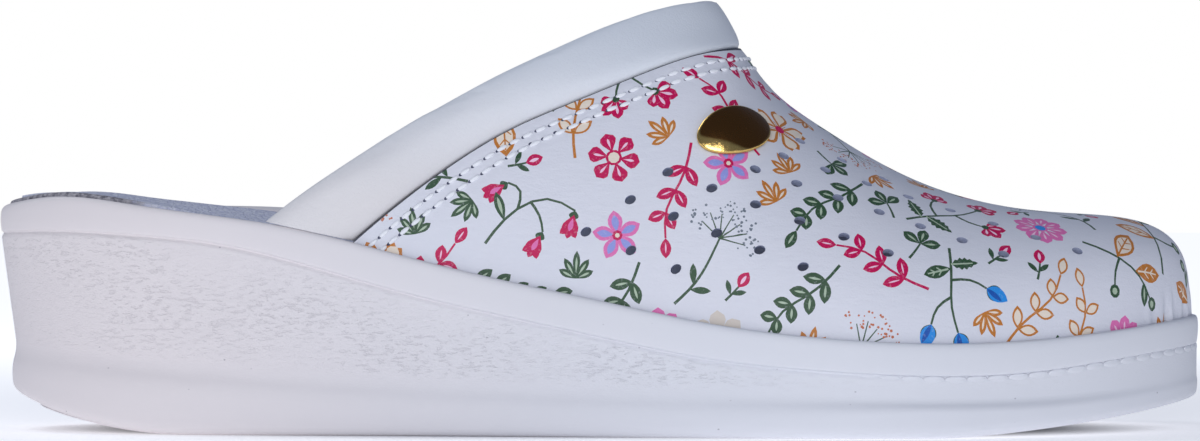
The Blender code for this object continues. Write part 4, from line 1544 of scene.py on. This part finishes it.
def stuff(piece, held):
    """Blows a piece up as its stuffing would, with some points held and a cap on how far the others move."""
    before = np.array([corner.co for corner in piece.data.vertices])
    group = piece.vertex_groups.new(name="held")
    group.add(np.flatnonzero(held).tolist(), 1.0, "ADD")
    cloth = piece.modifiers.new("stuffing", "CLOTH")
    cloth.settings.vertex_group_mass = group.name
    cloth.settings.mass = STUFFING_MASS
    cloth.settings.use_pressure = True
    cloth.settings.uniform_pressure_force = STUFFING_PRESSURE
    cloth.settings.effector_weights.gravity = 0
    for step in range(1, STUFFING_STEPS + 1):
        bpy.context.scene.frame_set(step)
    depsgraph = bpy.context.evaluated_depsgraph_get()
    after = np.array([corner.co for corner in piece.evaluated_get(depsgraph).data.vertices])
    piece.modifiers.remove(cloth)
    piece.vertex_groups.remove(group)
    bpy.context.scene.frame_set(1)
    moves = after - before
    lengths = np.linalg.norm(moves, axis=1)
    moves *= np.minimum(1, STUFFING_REACH * MM / np.maximum(lengths, 1e-9))[:, None]
    piece.data.vertices.foreach_set("co", (before + moves).astype(np.float32).ravel())
    piece.data.update()


collar_leather = Finish("collar_leather")
collar_hide = collar_leather.noise(900, 4.0, 0.6)
collar_cells = collar_leather.cells(1100, "DISTANCE_TO_EDGE").between(0.0, 0.16)
collar_place = collar_leather.place(1)
collar_height = collar_leather.node("ShaderNodeSeparateXYZ", {}, {"Vector": collar_place}, "Z")
# Painted light: the collar is warm near its foot and cooler and bluer towards its top.
painted_cool_light_share = collar_height.between(0.045, 0.085)
collar_tone = painted_cool_light_share.mixed(ink(221, 217, 218), ink(222, 228, 238))
collar_cloud = collar_leather.noise(26, 2.0)
collar_tone = (collar_cloud * 0.5).mixed(collar_tone, ink(232, 232, 234))
collar_leather.wear(
    {
        "Base Color": collar_tone,
        "Roughness": 0.5 + 0.1 * collar_hide,
        "Specular IOR Level": 0.4,
        "Normal": (collar_cells * 0.25 + collar_hide * 0.35).bumped(0.00008),
    }
)
collar_points, collar_faces = capped(collar_rings())
soft_collar = new_piece("soft_collar", collar_points, collar_faces, collar_leather, 70)
held = np.tile(collar_round[:, 0] < 0.06 * COLLAR_WIDTH, COLLAR_COLUMNS + 1)
held[: 3 * COLLAR_SIDES] = True
held[-3 * COLLAR_SIDES :] = True
stuff(soft_collar, held)
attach(soft_collar, "root")
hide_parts("padded_collar")

# Stitches
# Two rows of white polyester lockstitch that hold the collar to the vamp, pulled a little into the leather.
# Each stitch dives into a needle hole at both ends; the holes are flat dark beads of painted shade.
THREAD_PITCH = 3.0
THREAD_BEAD = (2.5, 0.95, 0.62)
NEEDLE_BEAD = (0.95, 0.65, 0.4)
THREAD_SHIFT = 0.6
THREAD_RAISED = 0.14
NEEDLE_RAISED = 0.02
thread_white = Finish("thread_white")
twist = thread_white.noise(3200, 2.0)
thread_white.wear(
    {
        "Base Color": twist.mixed(ink(238, 240, 247), ink(247, 248, 252)),
        "Roughness": 0.6 + 0.1 * twist,
        "Normal": twist.bumped(0.00012),
    }
)
# Painted shade: the needle holes are flat dark bluish beads sitting on the leather.
needle_hole_shade = Finish("needle_hole_shade")
hole_shade_mottle = needle_hole_shade.noise(2000, 2.0)
needle_hole_shade.wear(
    {
        "Base Color": hole_shade_mottle.mixed(ink(46, 52, 76), ink(84, 88, 112)),
        "Roughness": 0.8 + hole_shade_mottle * 0.1,
    }
)


def nearest_leather(point):
    """Nearest point of the leather, and its outward normal there."""
    hit, _, triangle, _ = shaped_tree.find_nearest(Vector(point))
    return np.array(hit), unit(all_normals[grid_triangles[triangle]].mean(axis=0))


def seam_path(distance, shift, raised):
    """A path on the leather at a distance from the collar's seam, started later by a shift along it."""
    line = curve_through(seam_row[MARGIN_COLUMNS + 2 : -MARGIN_COLUMNS - 2], samples=700)
    points = []
    ups = []
    for point, way in zip(line, unit(np.gradient(line, axis=0))):
        _, normal = nearest_leather(point)
        hit, normal = nearest_leather(point + unit(np.cross(way, normal)) * distance)
        points.append(hit + normal * raised)
        ups.append(normal)
    keep = lengths_along(points) >= shift
    return np.array(points)[keep], np.array(ups)[keep]


thread_paths = []
needle_paths = []
for i, distance in enumerate(STITCH_ROWS):
    thread_paths.append(seam_path(distance, THREAD_SHIFT * i, THREAD_RAISED))
    needle_paths.append(seam_path(distance, THREAD_SHIFT * i + THREAD_PITCH / 2, NEEDLE_RAISED))
collar_stitches = stitch_row("collar_stitches", thread_paths, THREAD_PITCH, THREAD_BEAD, thread_white)
needle_holes = stitch_row("needle_holes", needle_paths, THREAD_PITCH, NEEDLE_BEAD, needle_hole_shade)
for piece in (collar_stitches, needle_holes):
    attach(piece, "root")

# Stud
# A cast oval of brass with a low dome, riveted through the vamp's outer side.
# Its face is bare and darkened, partly as patina and partly as a painted dark reflection; its edge stays
# bright, and one corner carries a painted highlight.
STUD_LENGTH = 16.8
STUD_WIDTH = 10.8
STUD_AT = (155.5, 62.9)
STUD_TILT = 13.0
STUD_SIDES = 72
STUD_SEAT = 0.25
# columns: share of the radius, height above the leather, share of patina and painted dark reflection
STUD_PROFILE = [
    (0.60, 0.0, 0.0),
    (0.93, 0.0, 0.0),
    (0.98, 0.1, 0.1),
    (1.00, 0.35, 0.2),
    (1.00, 0.70, 0.2),
    (0.985, 0.92, 0.1),
    (0.95, 1.05, 0.3),
    (0.90, 1.16, 0.7),
    (0.80, 1.34, 1.0),
    (0.66, 1.54, 1.0),
    (0.50, 1.70, 1.0),
    (0.33, 1.80, 1.0),
    (0.16, 1.86, 1.0),
    (0.04, 1.87, 1.0),
]
STUD_PAINTED_GLINT_AT = 218.0
STUD_ROUND = dot((0, 0), 1, STUD_SIDES)


def stud_rings():
    """Ovals on the leather that follow its bend, one for each row of the profile."""
    place = station_seen_at(*STUD_AT, -1)
    step = 1e-3
    point, _, _, normal = last_frame(*place)
    by_station = (last_point(place[0] + step, place[1]) - point) / step
    by_arc = (last_point(place[0], place[1] + step) - point) / step
    basis = np.column_stack([by_station, by_arc])
    long_way = unit(basis @ np.linalg.solve(basis[[0, 2]], toward(STUD_TILT, 1)))
    plane = np.column_stack([long_way, np.cross(normal, long_way)])
    station, arc = np.repeat(np.array(place)[:, None], STUD_SIDES, axis=1)
    rings = []
    for share, height, _ in STUD_PROFILE:
        oval = STUD_ROUND * (STUD_LENGTH / 2, STUD_WIDTH / 2) * share
        seat, _, _, normals = last_frame(*settled(station, arc, oval + point @ plane, plane))
        rings.append(seat + normals * (STUD_SEAT + height))
    return rings


stud_brass = Finish("stud_brass")
patina_and_dark_reflection = stud_brass.painted("patina_and_dark_reflection")
tarnish = stud_brass.noise(420, 4.0, 0.6)
casting = stud_brass.noise(1300, 3.0)
# The dark share is partly patina and partly painted dark reflection.
dark_share = (patina_and_dark_reflection + (tarnish - 0.5) * 0.3).between(0.1, 0.6)
stud_brass.wear(
    {
        "Base Color": dark_share.mixed(ink(222, 186, 112), ink(108, 72, 38)),
        "Metallic": 1.0,
        "Roughness": 0.14 + 0.10 * dark_share + 0.06 * tarnish,
        "Normal": (casting * 0.4 + tarnish * 0.6).bumped(0.0001),
    }
)
stud_points, stud_faces = capped(stud_rings())
brass_stud = new_piece("brass_stud", stud_points, stud_faces, stud_brass, 60)
stud_share, _, stud_dark = np.array(STUD_PROFILE).T
# Painted highlight: a bright patch on the lower-left of the face.
painted_glint = ramp(np.outer(stud_share, STUD_ROUND @ toward(STUD_PAINTED_GLINT_AT, 1)), 0.45, 0.75)
paint(brass_stud, "patina_and_dark_reflection", (stud_dark[:, None] * (1 - painted_glint)).ravel())
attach(brass_stud, "root")
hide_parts("oval_stud")

# Studio
# A pale floor that glows, dimmed near the shoe by painted shade and under it by a painted contact shadow, a
# surround that looks white and sheds a dim cool light,
# a large soft lamp behind the camera, and a weak lamp behind the heel that lifts the footbed.
# The camera looks square at the outer side of the shoe from a little above the middle of its height.
CAMERA_PLACE = (0.0, -1.0, 0.052)
CAMERA_TARGET = (0.0, 0.0, 0.0442)
IMAGE_WIDTH_PX = 1200
FOCAL_PX = 4702
SENSOR_WIDTH = 36.0
SURROUND_TINT = (0.16, 0.19, 0.26, 1)
BLACK = (0, 0, 0, 1)
WHITE = (1, 1, 1, 1)
pale_floor = Finish("studio_floor")


def from_middle(scale):
    """Distance on the floor from under the shoe, with each axis stretched by a scale."""
    return pale_floor.node(
        "ShaderNodeVectorMath", {"operation": "LENGTH"}, {0: pale_floor.place(scale)}, output="Value"
    )


# Painted shade dims the floor's glow near the shoe, and a painted contact shadow darkens it in an ellipse
# under the shoe.
away_from_painted_shade = from_middle((1, 1, 0)).between(0.15, 0.6)
outside_painted_contact_shadow = from_middle((8.2, 23, 0)).between(0.7, 1.1)
floor_glow_and_painted_shade = away_from_painted_shade.mixed((0.55, 0.55, 0.57, 1), WHITE)
pale_floor.wear(
    {
        "Base Color": ink(240, 240, 242),
        "Roughness": 0.9,
        "Emission Color": outside_painted_contact_shadow.mixed(BLACK, floor_glow_and_painted_shade),
        "Emission Strength": 0.8,
    }
)
floor_mesh = bpy.data.meshes.new("studio_floor")
floor_mesh.from_pydata([(-4, -4, 0), (4, -4, 0), (4, 4, 0), (-4, 4, 0)], [], [(0, 1, 2, 3)])
floor_mesh.materials.append(pale_floor.material)
studio_floor = in_scene("studio_floor", floor_mesh)

world = bpy.data.worlds.new("white_surround")
bpy.context.scene.world = world
world.use_nodes = True
surround = NodeTree(world.node_tree)
seen = surround.node("ShaderNodeLightPath", output="Is Camera Ray")
surround.feed(world.node_tree.nodes["Background"].inputs["Color"], seen.mixed(SURROUND_TINT, WHITE))


def aimed(name, data, place, target):
    """A lamp or a camera at a place, turned to look at a target."""
    holder = in_scene(name, data)
    holder.location = place
    holder.rotation_euler = (Vector(target) - Vector(place)).to_track_quat("-Z", "Y").to_euler()
    return holder


def soft_lamp(name, place, target, size, power, colour):
    """A square area lamp that points at a target."""
    lamp = bpy.data.lights.new(name, "AREA")
    lamp.size = size
    lamp.energy = power
    lamp.color = colour
    aimed(name, lamp, place, target)


soft_lamp("front_lamp", (-0.12, -2.2, 0.25), (0, 0, 0.04), size=1.2, power=25, colour=(0.98, 0.988, 1.0))
soft_lamp("heel_lamp", (-0.35, 0.15, 0.5), (-0.07, 0, 0.05), size=0.3, power=0.9, colour=(0.92, 0.96, 1.0))

camera = bpy.data.cameras.new("photo_camera")
camera.sensor_width = SENSOR_WIDTH
camera.lens = FOCAL_PX * SENSOR_WIDTH / IMAGE_WIDTH_PX
bpy.context.scene.camera = aimed("photo_camera", camera, CAMERA_PLACE, CAMERA_TARGET)
bpy.context.scene.view_settings.view_transform = "Standard"
